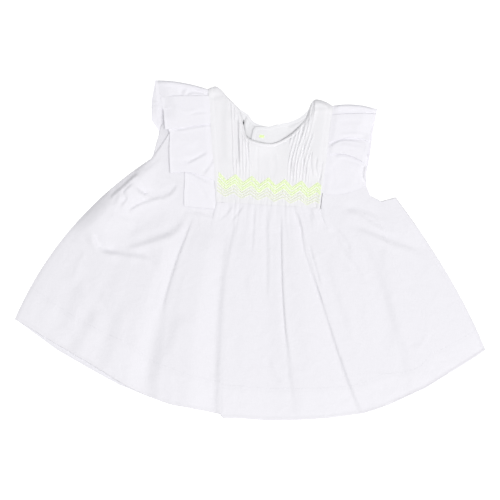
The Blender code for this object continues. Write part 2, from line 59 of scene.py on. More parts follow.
# How finely each cloth is drawn: grid lines to a fold, a reed or the whole piece.
SKIRT_FINE, SKIRT_ROWS, SKIRT_ROW_POWER = 4, 150, 1.12
BACK_FINE, BACK_ROWS = 4, 90
REED_FINE, TUCK_ROWS, BAND_ROWS = 10, 62, 32
RUFFLE_COLUMNS, RUFFLE_STEP, TURN_STEPS = 44, 1.6, 10
OUTER_ROWS, INNER_ROWS, PLACKET_COLUMNS = 80, 90, 24
EDGE_STEPS = (0.0, 0.1, 0.28, 0.55)
CREASE_SPACING = 1.3

# The yoke's seams, its reeds and, on these shares of its width, its pintucks, which bend to the right.
YOKE_LEFT_LOW, YOKE_RIGHT_LOW = (-64.0, -22.0), (66.0, -15.0)
YOKE_LEFT_TOP, YOKE_RIGHT_TOP = (-90.0, 117.0), (68.0, 113.0)
SMOCKING_TOP = 11.0
REEDS, REED_HEIGHT, REEDS_FADE, GATHERS_FADE = 35, 0.55, (9.0, 22.0), (1.0, 9.0)
TUCK_HEIGHT, TUCKED, TUCKED_RAMP = 1.3, ((0.165, 0.35), (0.66, 0.875)), 0.02
TUCKS_BEND, TUCKS_BEND_FROM = 2.4, (30.0, 95.0)
SEAM_ABOVE, SEAM_OVERHANG, SEAM_CORNERS = 0.3, 0.3, 0.6
SIDE_SEAM_HEIGHT, SIDE_SEAM_WIDTHS = 0.9, (2.5, 6.0)
# The neck's binding, and the shoulders outside these places, which puff up and turn down at their fold.
BINDING_WIDTH, BINDING_HEIGHT, BINDING_GROOVE, NECK_DROP = 3.6, 0.9, 0.4, 0.9
SHOULDERS, SHOULDER_TURN, SHOULDER_LOW, SHOULDER_PUFF = (-62.0, 42.0), 6.6, 1.8, 1.0
# The yoke rises between the first two places, so high, and is level again between the last two.
YOKE_RISES = (
    (-80.0, -36.0, 2.2, -32.0, -6.0), (8.0, 34.0, 2.0, 57.0, 68.0), (38.0, 57.0, 1.2, 57.0, 68.0),
)
YOKE_RISES_ABOVE, NECK_REACH, YOKE_SINKS = (14.0, 34.0), 5.0, 1.1

# The back neck button, under both ends of the back yoke, how it lifts the cloth, and its thread.
BUTTON_X, BUTTON_Y, BUTTON_RADIUS, BUTTON_FLOOR, BUTTON_HEIGHT = -18.0, 64.0, 5.5, 0.3, 1.7
BUTTON_LIFT, BUTTON_TENT, BUTTON_SLACK = 2.4, 22.0, 0.12
BUTTON_SIDES, HOLE_SIDES, HOLE_RADIUS, HOLE_PLACE = 48, 16, 0.75, 1.25
TACK_X, TACK_Y, TACK_LENGTH, TACK_STITCHES, TACK_SPACING = -16.6, 65.4, 4.6, 4, 0.8

# The gathers under the smocking: how many, how high, and the shares of the skirt that they run down.
GATHERS, GATHER_HEIGHT, GATHER_REACH, JOIN_FADE = 17, 0.8, (0.08, 0.26), 0.16
# The skirts' edges: the doubled hem, and how low the cloth's edges turn, at the top only by the armhole.
HEM_STARTS, HEM_RAMP, HEM_HEIGHT, HEM_LINE, HEM_LINE_DEPTH = 0.865, 0.006, 0.10, 0.004, 0.06
EDGE_LOW, BACK_EDGE_LOW, ARMHOLE_FROM = 1.15, 0.5, 108.0
# The front's left side rolls up: how high, how wide, how soon it levels out, and on which shares.
SIDE_ROLL, SIDE_ROLL_WIDTH, SIDE_ROLL_LEVELS, SIDE_ROLL_ARC = 7.2, 17.5, 42.0, 1.2
SIDE_ROLL_SPAN = (0.11, 0.20, 0.44, 0.62)
SIDE_SINKS, SIDE_SINKS_WITHIN = 1.2, 3.8
# The other edges curl up: how high, how wide and, on the shares between these, more and more.
HEM_CURLS, SIDE_CURLS, CURLS_WITHIN, CURLS_FROM_SIDE, SIDE_CURLS_FROM = 1.6, 1.8, 5.0, 20.0, (0.05, 0.15)
# Small unevenness of the cloth, below the top of each column.
MOTTLE, MOTTLE_FROM = 0.35, 0.2

# Outlines of the neck, front and back, and of the rounded end of the back yoke's inner half.
FRONT_NECK = (
    YOKE_LEFT_TOP, (-79, 121), (-63.5, 109), (-50, 97.5), (-44, 86), (-40, 74), (-35, 63), (-24, 59),
    (-10, 57.5), (2, 60), (18, 71), (29, 84), (37, 98), (39.5, 111), (45, 119), (57, 118), YOKE_RIGHT_TOP,
)
BACK_NECK = (
    (-89, 116), (-79, 120), (-64, 107.5), (-48, 97), (-37, 91.5), (-30, 84), (-22, 80.3), (-10, 78.5),
    (-2, 81.5), (16, 88.5), (28, 95.5), (38, 106), (46, 116), (57, 116), (67, 112),
)
PLACKET_END = (
    (-21, 77.2), (-25, 76.4), (-27.3, 74), (-28.5, 69), (-29, 62), (-29.5, 54), (-30, 42), (-31, -1.5),
)
OUTER_END_X, OUTER_END_CLEAR, OUTER_END_RAMP = 2.0, 2.8, 14.0
BACK_YOKE_SIDES, BACK_YOKE_LOW_Y, BACK_YOKE_Z = (-88.0, 66.0), -2.0, 0.6 * WALL
BACK_NECK_STANDS, BACK_NECK_REACH = 1.2, 12.0
BACK_HEM_WIDTH, BACK_HEM_HEIGHT, BACK_HEM_LINE = 4.0, 0.35, 0.25

# Folds of the front skirt, left to right, each from the top through a middle point to the hem.
SKIRT_FRONT = (
    # name,         top x, y,   middle x, y,  hem x, y,    z top, middle, hem, columns to the next
    ("side left",     -135,    51, -231.5,   -63, -298,   -197, 0.0, 0.0, 0.0, 2),
    ("roll",          -131,    57,   -217,   -70, -285,   -202, 0.0, 1.2, 0.6, 2),
    ("armhole",       -125,    66,   -198,   -80, -262,   -213, 0.0, 2.2, 1.4, 4),
    ("crumple",       -112,    84,   -175,   -87, -228,   -228, 0.0, 3.3, 2.3, 4),
    ("hump",           -97,    95,   -152,   -90, -194,   -243, 0.0, 5.0, 3.6, 4),
    ("ridge",          -80,    35,   -126,  -100, -152,   -263, 0.0, 6.4, 5.0, 2),
    ("foot a",         -74,     4,   -112,  -127, -127,   -272, 0.0, 3.6, 1.8, 2),
    ("crest a",        -71,    -6,   -103,  -131, -104,   -278, 0.0, 5.4, 5.0, 2),
    ("hill a",       -67.4,   -16,    -90,  -137,  -88,   -281, 0.0, 6.4, 6.2, 2),
    ("ridge b",      -64.6,   -23,    -74,  -147,  -70,   -282, 0.3, 7.2, 7.0, 4),
    ("foot b",         -46, -21.4,    -48,  -150,  -37,   -285, 0.3, 2.8, 2.6, 1),
    ("crest b",        -42, -21.2,    -41,  -150,  -29, -285.5, 0.3, 4.4, 4.6, 2),
    ("rise b",         -35, -20.8,    -34,  -152,  -25,   -290, 0.3, 4.8, 5.0, 4),
    ("hill b",         -20,   -20,    -17,  -152,   -6,   -288, 0.3, 4.6, 4.6, 4),
    ("valley b",        -1,   -19,     13,  -152,   32, -286.5, 0.3, 4.0, 4.0, 3),
    ("foot c",          17,   -18,   34.5,  -150,   62, -282.5, 0.3, 5.4, 4.6, 1),
    ("crest c",       19.5, -17.9,   37.5,  -150,   73,   -281, 0.3, 6.7, 5.4, 3),
    ("hill d",          29, -17.4,     60,  -149,  104, -275.5, 0.3, 7.5, 5.8, 3),
    ("foot d",          36,   -17,     87,  -148,  142,   -266, 0.3, 5.6, 4.4, 1),
    ("crest d",         39, -16.8,     90,  -147,  149,   -264, 0.3, 7.2, 6.0, 3),
    ("right hill",      55,   -16,    108,  -140,  165,   -257, 0.3, 6.6, 6.0, 3),
    ("corner",        66.8, -15.8,    126,  -130,  183,   -248, 0.3, 5.6, 5.6, 3),
    ("foot e",        67.8,    40,    156,  -120,  199,   -238, 0.0, 4.2, 4.8, 2),
    ("crest e",       68.6,    62,    167,  -115,  210,   -231, 0.0, 5.8, 5.2, 2),
    ("strip",           72,    66,    173,  -110,  222,   -224, 0.0, 5.7, 4.9, 3),
    ("under ruffle",   119,    22,    180,  -105,  244,   -207, 0.0, 5.5, 4.5, 2),
    ("armhole low",  126.5,   7.5,    190,  -108,  255, -198.5, 0.0, 4.0, 3.0, 2),
    ("underarm",       141,     2,    228,   -88,  281,   -178, 0.5, 2.5, 1.0, 2),
    ("side right",     159,     9,  236.5, -82.5,  292,   -168, 0.0, 0.0, 0.0, 0),
)
SKIRT_BACK = (
    # as above; the back lies flat
    ("side left",     -143,   66,  -229,  -64,  -296, -197.5, 0, 0, 0, 3),
    ("armhole",       -135,   72,  -195,  -84,  -241,   -229, 0, 0, 0, 3),
    ("hem shows",     -120,   79,  -160,  -90,  -190,   -251, 0, 0, 0, 3),
    ("strip left",     -92,   88,  -140, -100,  -160,   -263, 0, 0, 0, 2),
    ("seam left",      -78,   35,  -115, -125,  -120, -274.5, 0, 0, 0, 2),
    ("corner left",    -66, -2.4,   -75, -145,   -80,   -278, 0, 0, 0, 5),
    ("centre",           0, -2.4,    10, -150,    20,   -284, 0, 0, 0, 5),
    ("corner right",    66, -2.4,   115, -135,   160,   -252, 0, 0, 0, 3),
    ("strip right",     72,   62,   162, -116,   205,   -227, 0, 0, 0, 3),
    ("under ruffle",   117,   21,   178, -107,   236,   -210, 0, 0, 0, 2),
    ("armhole low",    126,    5,   190, -110,   253,   -197, 0, 0, 0, 2),
    ("underarm",       141,    0,   227,  -90,   278,   -178, 0, 0, 0, 1),
    ("side right",   157.5,    7, 234.5,  -83, 289.5,   -168, 0, 0, 0, 0),
)
# The share of its length at which a column passes the underarm, and where the first ones are there.
FRONT_PASSES, BACK_PASSES = 0.12, 0.15
AT_UNDERARM_FRONT = {"side left": (-151.5, 22, 0.0), "roll": (-142, 22, 1.0), "armhole": (-135, 29, 0.8)}
AT_UNDERARM_BACK = {"side left": (-150.5, 19, 0.0), "armhole": (-140, 24, 0.0)}
# The skirts' side strips climb on to the ruffles' backs, the front's a little sooner.
STRIP_LEFT_X, STRIP_RIGHT_X, STRIP_SIDE = -66.0, 66.0, 6.0
STRIP_RAMP_LOW, STRIP_RAMP_HIGH = -34.0, -8.0
FRONT_AHEAD, FRONT_LOWER = 6.0, 14.0
# Left, right and low end of the places under the ruffles where the front skirt stays flat, and of those
# where its creases don't show, and how soon each fades.
COVERED, COVER_RAMP = ((-132.0, -60.0, -40.0), (62.0, 126.0, -4.0)), 46.0
HIDDEN, CREASE_RAMP = ((-134.0, -60.0, 12.0), (-106.0, -60.0, -32.0), (62.0, 124.0, -2.0)), 6.0
HIDDEN_CREASES = 0.15

# Creases: how deep each one sinks, its half width, and the soft step by which the cloth is higher on the
# side that STEPS_TO points to. Less than 0 deep is a ridge.
STEPS_TO = (0.78, -0.62)
SKIRT_CREASES = (
    # name, route, depth, half width, step
    ("underarm line", ((-163, 3), (-172, -3), (-181, -14), (-190, -23), (-199, -34)), 2.0, 3.4, 1.6),
    ("underarm patch", ((-186, -21), (-188, -31), (-191, -42)), 1.0, 4.0, 0.5),
    ("underarm loop",
     ((-169, -9), (-177, -18), (-180, -24), (-176, -31), (-182, -40), (-183, -47)),
     1.6, 3.0, 0.7),
    ("smile",
     ((-166, -11), (-159, -19), (-147, -23), (-134, -23), (-124, -18), (-118, -10), (-114, -3)),
     1.9, 3.4, 1.2),
    ("smile low", ((-173, -46), (-161, -36), (-148, -29), (-133, -24)), 1.8, 3.4, 1.2),
    ("smile top", ((-156, -23), (-148, -18), (-138, -22)), 1.2, 2.8, 0.5),
    ("underarm soft", ((-191, -48), (-181, -53), (-171, -56), (-158, -58)), 0.4, 4.0, 0.6),
    ("side small a", ((-240, -88), (-230, -89), (-215, -91)), 0.3, 4.0, 0.4),
    ("side small b", ((-219, -77), (-213, -78), (-206, -81)), 0.4, 2.6, 0.4),
    ("hook", ((-210, -77), (-205, -89), (-200, -96), (-190, -98), (-175, -99)), 1.6, 4.5, 1.1),
    ("hook along", ((-198, -97), (-170, -99), (-149, -99), (-138, -103), (-130, -115)), 0.8, 4.5, 1.2),
    ("long curve",
     ((-102, -44), (-108, -58), (-119, -68), (-141, -79), (-159, -87), (-178, -93)),
     0.8, 4.5, 1.2),
    ("side ridge", ((-219, -98), (-226, -121), (-232, -147)), -0.6, 5.0, 0.0),
    ("low valley a", ((-196, -165), (-213, -203), (-228, -240)), 0.2, 9.0, 1.0),
    ("low shade", ((-222, -140), (-231, -180), (-238, -215)), 0.2, 11.0, 0.9),
    ("low valley b", ((-172, -160), (-176, -209), (-188, -250)), 0.2, 10.0, 0.9),
    ("fan a", ((-216, -144), (-206, -157), (-189, -164)), 0.2, 4.0, 0.3),
    ("fan b", ((-222, -159), (-211, -176), (-196, -188)), 0.2, 5.0, 0.3),
    ("fan c", ((-191, -148), (-179, -159), (-164, -165)), 0.2, 4.0, 0.3),
    ("ridge left", ((-123, -90), (-120, -139), (-130, -188)), -0.5, 6.0, 0.0),
    ("line a",
     ((-90, -39), (-97, -68), (-104, -95), (-110, -126), (-114, -151), (-115, -179)),
     0.6, 2.4, 0.5),
    ("broad shadow",
     ((-89, -156), (-100, -182), (-112, -212), (-120, -240), (-123, -268)),
     0.3, 12.0, 0.9),
    ("fold b",
     ((-34, -24), (-38, -50), (-42, -80), (-44, -118), (-42, -168), (-39, -218), (-34, -278)),
     0.4, 4.0, 0.4),
    ("gather line", ((-16, -22), (-14, -52), (-12, -89)), 0.6, 2.6, 0.3),
    ("strip line", ((-1, -25), (5, -62), (9, -93), (14, -142)), 0.3, 2.6, 0.5),
    ("fold c", ((17, -18), (22, -60), (29, -110), (37, -159), (46, -196), (56, -230)), 0.6, 2.4, 0.4),
    ("fold c low", ((50, -216), (62, -245), (71, -271)), 0.0, 8.0, 0.6),
    ("hem centre", ((21, -209), (40, -238), (56, -247)), 0.3, 4.0, 0.4),
    ("fold d", ((35, -17), (44, -40), (52, -70), (64, -97), (78, -126), (90, -146)), 1.1, 2.4, 0.6),
    ("fold d side", ((57, -61), (66, -83), (80, -119)), 0.9, 2.4, 0.6),
    ("fold d low", ((85, -136), (101, -177), (117, -213), (133, -244), (146, -263)), 0.4, 3.5, 0.3),
    ("loop", ((80, -36), (94, -43), (104, -55), (113, -71)), 1.0, 3.0, 0.9),
    ("loop low", ((87, -45), (106, -71), (121, -87), (135, -104)), 0.8, 3.4, 0.7),
    ("right soft", ((78, -74), (95, -113), (111, -148), (124, -182)), 0.2, 7.0, 0.6),
    ("fold e", ((138, -42), (150, -81), (162, -120), (170, -157), (170, -205)), 0.3, 9.0, 0.6),
    ("upper right a", ((99, -9), (118, -12), (134, -16), (149, -25)), 0.6, 4.0, 0.8),
    ("upper right b", ((105, -31), (138, -40), (164, -47), (189, -54), (208, -69)), 0.6, 5.0, 1.0),
    ("upper right c", ((92, -12), (113, -16), (136, -26), (161, -36)), 0.6, 4.0, 0.8),
    ("right ridge", ((214, -122), (216, -158), (200, -185)), -0.5, 6.0, 0.0),
    ("armhole right", ((105, 19), (115, 11), (128, 1)), 0.6, 3.5, 0.4),
    ("centre b", ((-15, -102), (-14, -127), (-2, -156)), 0.2, 5.0, 0.3),
    ("gather a", ((-44, -25), (-50, -36), (-60, -47)), 0.4, 2.6, 0.3),
    ("gather b", ((-30, -22), (-35, -32), (-43, -44)), 0.7, 2.6, 0.3),
    ("gather d", ((1, -22), (3, -35), (3, -51)), 0.5, 2.6, 0.3),
    ("gather f", ((32, -19), (37, -28), (43, -43)), 0.5, 2.6, 0.3),
    ("gather g", ((52, -17), (58, -26), (65, -40)), 0.4, 2.6, 0.3),
    ("corner line", ((63, 10), (64, -5), (67, -19), (74, -34), (80, -42)), 1.8, 2.8, 0.9),
    ("under the end", ((-107, -45), (-95, -39), (-76, -39), (-62, -42)), 0.5, 3.0, 0.5),
)
YOKE_CREASES = (
    # as above
    ("neck left", ((-43, 88), (-41, 73), (-37, 60)), 1.6, 3.0, 0.6),
    ("left fold", ((-51, 87), (-47, 58), (-42, 23)), 1.7, 4.5, 1.3),
    ("left tuck", ((-35, 61), (-31, 40), (-25, 20)), 0.8, 2.5, 0.2),
    ("left plain", ((-71, 105), (-68, 68), (-61, 25)), 0.6, 7.0, 0.0),
    ("right neck", ((39, 103), (33, 82), (28, 53)), 1.2, 3.5, 0.4),
    ("right line", ((37, 76), (37, 48), (42, 21)), 1.0, 2.2, 0.3),
    ("right close a", ((47, 58), (48, 39), (53, 21)), 0.9, 2.2, 0.3),
    ("right close b", ((55, 49), (55, 34), (61, 19)), 0.9, 2.2, 0.3),
    ("right edge", ((62, 45), (62, 30), (61, 15)), 1.1, 2.4, 0.3),
    ("shoulder right", ((42, 108), (52, 110), (64, 109)), 1.0, 3.5, 0.4),
    ("low fold", ((23, 43), (25, 25), (30, 11)), 0.9, 3.0, 0.2),
    ("shoulder left", ((-84, 104), (-79, 109), (-69, 109)), 0.8, 4.0, 0.3),
    ("centre left", ((-20, 53), (-19, 36), (-16, 16)), 0.5, 3.0, 0.0),
    ("centre right", ((-2, 50), (3, 32), (2, 13)), 0.4, 5.0, 0.0),
)
BACK_YOKE_CREASES = (
    ("beside the neck", ((-39, 91), (-41, 76), (-38, 59)), 1.2, 2.6, 0.5),
    ("right of the neck", ((12, 81), (26, 90), (39, 103)), 0.6, 5.0, 0.9),
)

# The ruffles, from their hidden end up the back, over the shoulder and down the pleated front. A row that
# turns back folds the cloth over on itself.
RUFFLE_LEFT = (
    # name,        seam y, outer x, y, bow, z, turns back, puffed up by
    ("back end",     10,   -128,  12, 0, BACK_RUFFLE_Z,              False, 0),
    ("back",         55,   -147,  60, 0, BACK_RUFFLE_Z,              False, 0),
    ("back lap",     72,   -156,  70, 0, BACK_RUFFLE_Z,              False, 0),
    ("back upper",   92,   -159,  94, 0, BACK_RUFFLE_Z,              False, 0),
    ("shoulder",    114,   -157, 118, 3, BACK_RUFFLE_Z,              True, 0),
    ("under box",    92,   -150,  86, 0, RUFFLE_Z,                   True, 0),
    ("box top",     108,   -147, 100, 0, RUFFLE_Z + LAYER,           True, 0),
    ("box middle",   92,   -142,  82, 0, RUFFLE_Z + 2 * LAYER + 0.6, False, 0.3),
    ("box bottom",   75, -137.5,  61, 0, RUFFLE_Z + 2 * LAYER,       True, 0.3),
    ("below box",    86,   -139,  73, 0, RUFFLE_Z + LAYER,           True, 0),
    ("panel top",    70,   -131,  56, 0, RUFFLE_Z,                   False, 0),
    ("panel",        38,   -129,  32, 0, RUFFLE_Z + 2.4,             False, 0.5),
    ("panel edge",    4,   -125,   8, 5, RUFFLE_Z + 2 * LAYER,       True, 0.3),
    ("below panel",  16,   -108,  19, 4, RUFFLE_Z + LAYER,           True, 0),
    ("end top",       0,   -106,   3, 2, RUFFLE_Z,                   False, 0),
    ("end middle",  -16,   -105, -15, 0, RUFFLE_Z + 0.8,             False, 0.3),
    ("end",         -31,   -103, -32, 0, RUFFLE_Z + 0.9,             False, 0.2),
)
RUFFLE_RIGHT = (
    # as above
    ("back end",       12,   118,    20,   0, BACK_RUFFLE_Z,              False, 0),
    ("back",           60,   121,    60,   0, BACK_RUFFLE_Z,              False, 0),
    ("back upper",     90, 121.5,    90,   0, BACK_RUFFLE_Z,              False, 0),
    ("shoulder",    111.5,   123, 113.5, 3.5, BACK_RUFFLE_Z,              True, 0),
    ("under box",      90,   121,    98,   0, RUFFLE_Z,                   True, 0),
    ("box top",       101,   123,   109,   1, RUFFLE_Z + LAYER,           True, 0),
    ("box middle",     84,   119,    95,   0, RUFFLE_Z + 2 * LAYER + 0.6, False, 0.3),
    ("box bottom",     67,   117,    75,   6, RUFFLE_Z + 2 * LAYER,       True, 0.3),
    ("below box",      77,   119,    86,   5, RUFFLE_Z + LAYER,           True, 0),
    ("strip top",    65.5,   118,  72.5,   5, RUFFLE_Z,                   False, 0),
    ("strip rise",   59.5, 116.5,    61, 5.5, RUFFLE_Z + 2 * LAYER,       False, 0),
    ("strip edge",     52,   115,    47,   6, RUFFLE_Z + 2 * LAYER,       True, 0),
    ("below strip",  57.5,   118,    55,   5, RUFFLE_Z + LAYER,           True, 0),
    ("panel top",      48,   118,    42,   2, RUFFLE_Z,                   False, 0),
    ("panel",          27, 119.5,    31,   0, RUFFLE_Z + 0.8,             False, 0.4),
    ("end",             4,   120,    20,  -6, RUFFLE_Z + 0.2,             False, 0.2),
)
BOX, PANEL, BACK_TOP = ("box middle", "box bottom"), ("panel", "panel edge"), ("back upper", "shoulder")
RUFFLE_CREASES = (
    # name and the parts of the ruffle that it crosses, then as above; first the left ruffle
    ("behind", ("back", "back lap") + BACK_TOP, ((-158, 118), (-157, 91), (-154, 69)), 0.2, 6.0, 1.3),
    ("gap a", BACK_TOP, ((-159, 92), (-152, 93), (-144, 93)), -1.0, 2.0, 0.0),
    ("gap b", BACK_TOP, ((-158, 87), (-150, 88), (-142, 88)), -1.0, 2.0, 0.0),
    ("shoulder small", ("under box",), ((-121, 104), (-121, 111), (-115, 115)), 0.9, 2.4, 0.5),
    ("shoulder lens", ("under box",), ((-117, 107), (-106, 111), (-92, 111)), 1.0, 2.4, 0.6),
    ("box line", BOX, ((-109, 83), (-98, 86), (-87, 88)), 0.6, 2.2, 0.2),
    ("box swell", BOX, ((-132, 91), (-115, 85), (-97, 90)), -0.6, 3.5, 0.0),
    ("box foot", ("panel top", "panel"), ((-129, 60), (-107, 66), (-79, 74)), 0.8, 2.0, 0.6),
    ("panel drag a", PANEL, ((-106, 22), (-94, 30), (-81, 40)), 1.1, 2.6, 0.5),
    ("panel drag b", PANEL, ((-85, 9), (-77, 23), (-67, 44)), 0.9, 2.6, 0.4),
    ("panel soft a", PANEL, ((-124, 46), (-104, 38), (-86, 49)), 0.5, 8.0, 0.0),
    ("panel soft b", PANEL, ((-125, 24), (-112, 22), (-100, 29)), 0.4, 5.0, 0.0),
    ("panel foot", ("end top", "end middle"), ((-121, 5), (-107, 11), (-88, 6), (-72, -2)), 0.8, 2.2, 0.6),
    ("end fold", ("end middle", "end"), ((-100, 1), (-87, -6), (-74, -21)), 0.6, 4.0, 0.2),
    # the right ruffle
    ("box swell", BOX, ((80, 78), (95, 81), (113, 82)), -0.6, 3.0, 0.0),
    ("box soft", BOX, ((76, 92), (91, 97), (108, 98)), 0.4, 5.0, 0.0),
    ("box foot", ("strip top", "strip rise"), ((68, 63), (81, 72), (96, 74), (111, 73)), 0.8, 2.0, 0.6),
    ("strip swell", ("strip rise", "strip edge"), ((82, 67), (97, 66), (112, 62)), -0.4, 4.0, 0.0),
    ("strip foot", ("panel top", "panel"), ((74, 52), (89, 55), (100, 53), (114, 47)), 0.6, 3.0, 0.7),
    ("outer fold", ("panel", "end"), ((117, 47), (114, 37), (116, 27), (122, 20)), 1.2, 2.2, 0.8),
    ("panel soft a", ("panel", "end"), ((78, 47), (92, 33), (100, 14)), 0.4, 12.0, 0.7),
    ("panel soft b", ("panel", "end"), ((69, 48), (78, 26), (77, 9)), 0.4, 5.0, 0.0),
    ("panel soft c", ("panel", "end"), ((100, 39), (109, 30), (107, 17)), 0.5, 4.0, 0.2),
)
# The ruffles' seams: how far they overlap the yoke, their puckers, and how far layers are pressed there.
SEAM_CLEAR, SEAM_LOW, SEAM_PRESSED, SEAM_REACH = -0.4, 3.75, 0.36, 8.0
SEAM_PUCKER, SEAM_PUCKER_PITCH, SEAM_PUCKER_REACH = 0.12, 4.5, 7.0
# Further out: layers pressed less, outer edges that droop above this height, and a roll by the shoulder.
PRESSED, DROOP, DROOP_REACH, DROOPS_ABOVE, DROOP_RAMP = 0.52, 3.0, 18.0, 72.0, 14.0
ROLL_HEIGHT, ROLL_REACH, ROLL_FROM_EDGE, ROLL_BELOW = 1.9, (3.4, 3.2), 8.0, RUFFLE_Z + 0.5
RUFFLE_HEM, RUFFLE_HEM_HEIGHT = 4.0, 0.15

# Smocking rows, top to bottom: height on the yoke at its left and right, rise of the zigzag.
SMOCKING = (
    # y left, y right, rise, thread thickness, thread
    (9.0, 11.0, 4.6, 1.35, "bright"),
    (6.2,  8.0, 4.6, 1.35, "bright"),
    (2.6,  4.2, 4.4, 1.35, "bright"),
    (-0.4, 1.2, 4.4, 1.35, "bright"),
    (-4.0, -2.8, 4.0, 1.0, "pale"),
    (-7.6, -6.2, 3.6, 1.0, "pale"),
    (-11.0, -9.6, 3.2, 1.0, "pale"),
)
SMOCKING_WAVES, SMOCKING_ENDS = 6.2, (-64.0, 63.5)
SMOCKING_POINTS, SMOCKING_ON_CRESTS = 240, 0.8

# Sewing: how far apart the stitches are, how long and how thick, and how uneven.
SMOCKING_STITCH = {"pitch": 1.9, "length": 2.6, "seed": 3, "uneven": 0.10}
TACK_STITCH = {"pitch": 1.1, "length": 1.7, "thickness": 0.95, "seed": 5}
HEM_STITCH = {"pitch": 3.0, "length": 2.5, "thickness": 0.32, "seed": 11}
RUFFLE_STITCH = {"pitch": 2.8, "length": 2.3, "thickness": 0.30, "seed": 13}
NECK_STITCH = {"pitch": 2.6, "length": 2.1, "thickness": 0.30, "seed": 17}

COTTONS = {
    # name: colour where it is single and where it is doubled, height of its wrinkles in metres
    "skirt cotton": ((0.828, 0.821, 0.862, 1), (0.841, 0.834, 0.875, 1), 0.0009),
    # a darker copy of the skirt cotton: painted shade on the back skirt, which lies in the front layer's
    # shadow
    "skirt cotton, painted shade": ((0.785, 0.78, 0.82, 1), (0.80, 0.795, 0.835, 1), 0.0009),
    "yoke cotton": ((0.836, 0.833, 0.858, 1), (0.863, 0.860, 0.883, 1), 0.0005),
    # a darker copy of the yoke cotton: painted shade on the back yoke, which lies deep inside the neck,
    # under the front yoke
    "yoke cotton, painted shade": ((0.822, 0.824, 0.846, 1), (0.842, 0.844, 0.866, 1), 0.0005),
    "ruffle cotton": ((0.855, 0.847, 0.893, 1), (0.886, 0.878, 0.925, 1), 0.0005),
}
THREADS = {
    # name: colour, and how strong its painted glow is: emission that stands in for the bright look of
    # fluorescent thread
    "bright thread": ((0.81, 0.96, 0.495, 1.0), 0.155),
    "pale thread": ((0.845, 0.905, 0.645, 1.0), 0.09),
    "white thread": ((0.84, 0.84, 0.87, 1.0), 0.0),
}
PEARL = (0.80, 0.78, 0.74, 1.0), (0.93, 0.93, 0.90, 1.0)
TABLE_WHITE = (0.78, 0.78, 0.78, 1.0), (0.81, 0.81, 0.81, 1.0)

# The room, in metres and degrees.
FLOOR_HALF, FLOOR_GLOW = 6.0, 0.62
CAMERA_HEIGHT, CAMERA_LENS, CAMERA_SENSOR, GARMENT_TURN = 1.479, 85.0, 36.0, 6.5
VIEW_CENTRE = (-0.0121, 0.0068)
KEY_AZIMUTH, KEY_ELEVATION, KEY_DISTANCE, KEY_SIZE, KEY_POWER = -38.5, 69.0, 5.0, 5.0, 202.0
KEY_COLOUR, DOME_COLOUR, DOME_STRENGTH = (1.0, 0.99, 0.985), (0.985, 0.99, 1.0, 1.0), 0.45


# ---------------------------------------------------------------- shapes in numbers

def ease(share):
    """0 to 1 with flat ends."""
    share = np.clip(share, 0.0, 1.0)
    return share * share * (3.0 - 2.0 * share)


def ramp(value, start, end):
    """0 before start, 1 beyond end."""
    return ease((value - start) / (end - start))


def within(distance, reach):
    """1 where there is no distance, 0 beyond its reach."""
    return 1.0 - ease(distance / reach)


def mix(a, b, share):
    return a + (b - a) * share


def through(top, middle, end, share):
    """A smooth run through three values, at 0, a half and 1."""
    first = top * (1 - share) * (1 - 2 * share)
    return first + middle * 4 * share * (1 - share) + end * share * (2 * share - 1)


def route_at(values, passes, share):
    """Straight from the first value to the second, at passes, then smoothly through a half and 1."""
    top, near, middle, end = values
    from_near, from_middle, from_end = share - passes, share - 0.5, share - 1.0
    smooth = near * from_middle * from_end / ((passes - 0.5) * (passes - 1.0))
    smooth += middle * from_near * from_end / ((0.5 - passes) * -0.5)
    smooth += end * from_near * from_middle / ((1.0 - passes) * 0.5)
    return np.where(share < passes, mix(top, near, share / passes), smooth)


def across(route, x):
    """The height of a route, left to right, at x."""
    return np.interp(x, [point[0] for point in route], [point[1] for point in route])


def unevenness(place, seed):
    """A smooth, repeatable wander between -1 and 1."""
    waves = (1.7, 1.0), (2.9, 2.3), (0.61, 0.7)
    return sum(np.sin(place * pitch + seed * shift) for pitch, shift in waves) / len(waves)


def button_lift(x, y, layer):
    """How far the cloth over the button is lifted, a little more in each layer over it."""
    away = np.hypot(x - BUTTON_X, y - BUTTON_Y) - BUTTON_RADIUS - 1.5
    top = BUTTON_LIFT * (1.0 + BUTTON_SLACK * layer)
    return top * within(away, BUTTON_TENT + layer - BUTTON_RADIUS)


def strip_climb(x, y, ahead=0.0, lower=0.0):
    """The side strips lie one layer up, on the back ruffles. The upper panel climbs sooner."""
    left, right = STRIP_LEFT_X + ahead, STRIP_RIGHT_X - ahead
    beside = np.maximum(ramp(x, left + STRIP_SIDE, left), ramp(x, right - STRIP_SIDE, right))
    return LAYER * beside * ramp(y + lower, STRIP_RAMP_LOW, STRIP_RAMP_HIGH)


def gather_wave(share):
    """The gathers at the smocked seam, left to right: 0 in their dips, 1 on their rounded crests."""
    place = share * GATHERS + 0.45 * unevenness(share * GATHERS * 0.8, 2.0)
    crests = np.abs(np.sin(math.pi * place)) ** 0.8 * (0.72 + 0.4 * unevenness(np.floor(place) * 1.9, 4.0))
    return crests * ramp(share, 0.0, 0.012) * ramp(share, 1.0, 0.988)


def covered(x, y, places, fade):
    """1 where a ruffle lies on the front skirt, 0 clear of it."""
    share = np.zeros_like(x)
    for left, right, low in places:
        inside = np.minimum(np.minimum(x - left, right - x), y - low)
        share = np.maximum(share, ease((inside + fade) / fade))
    return share


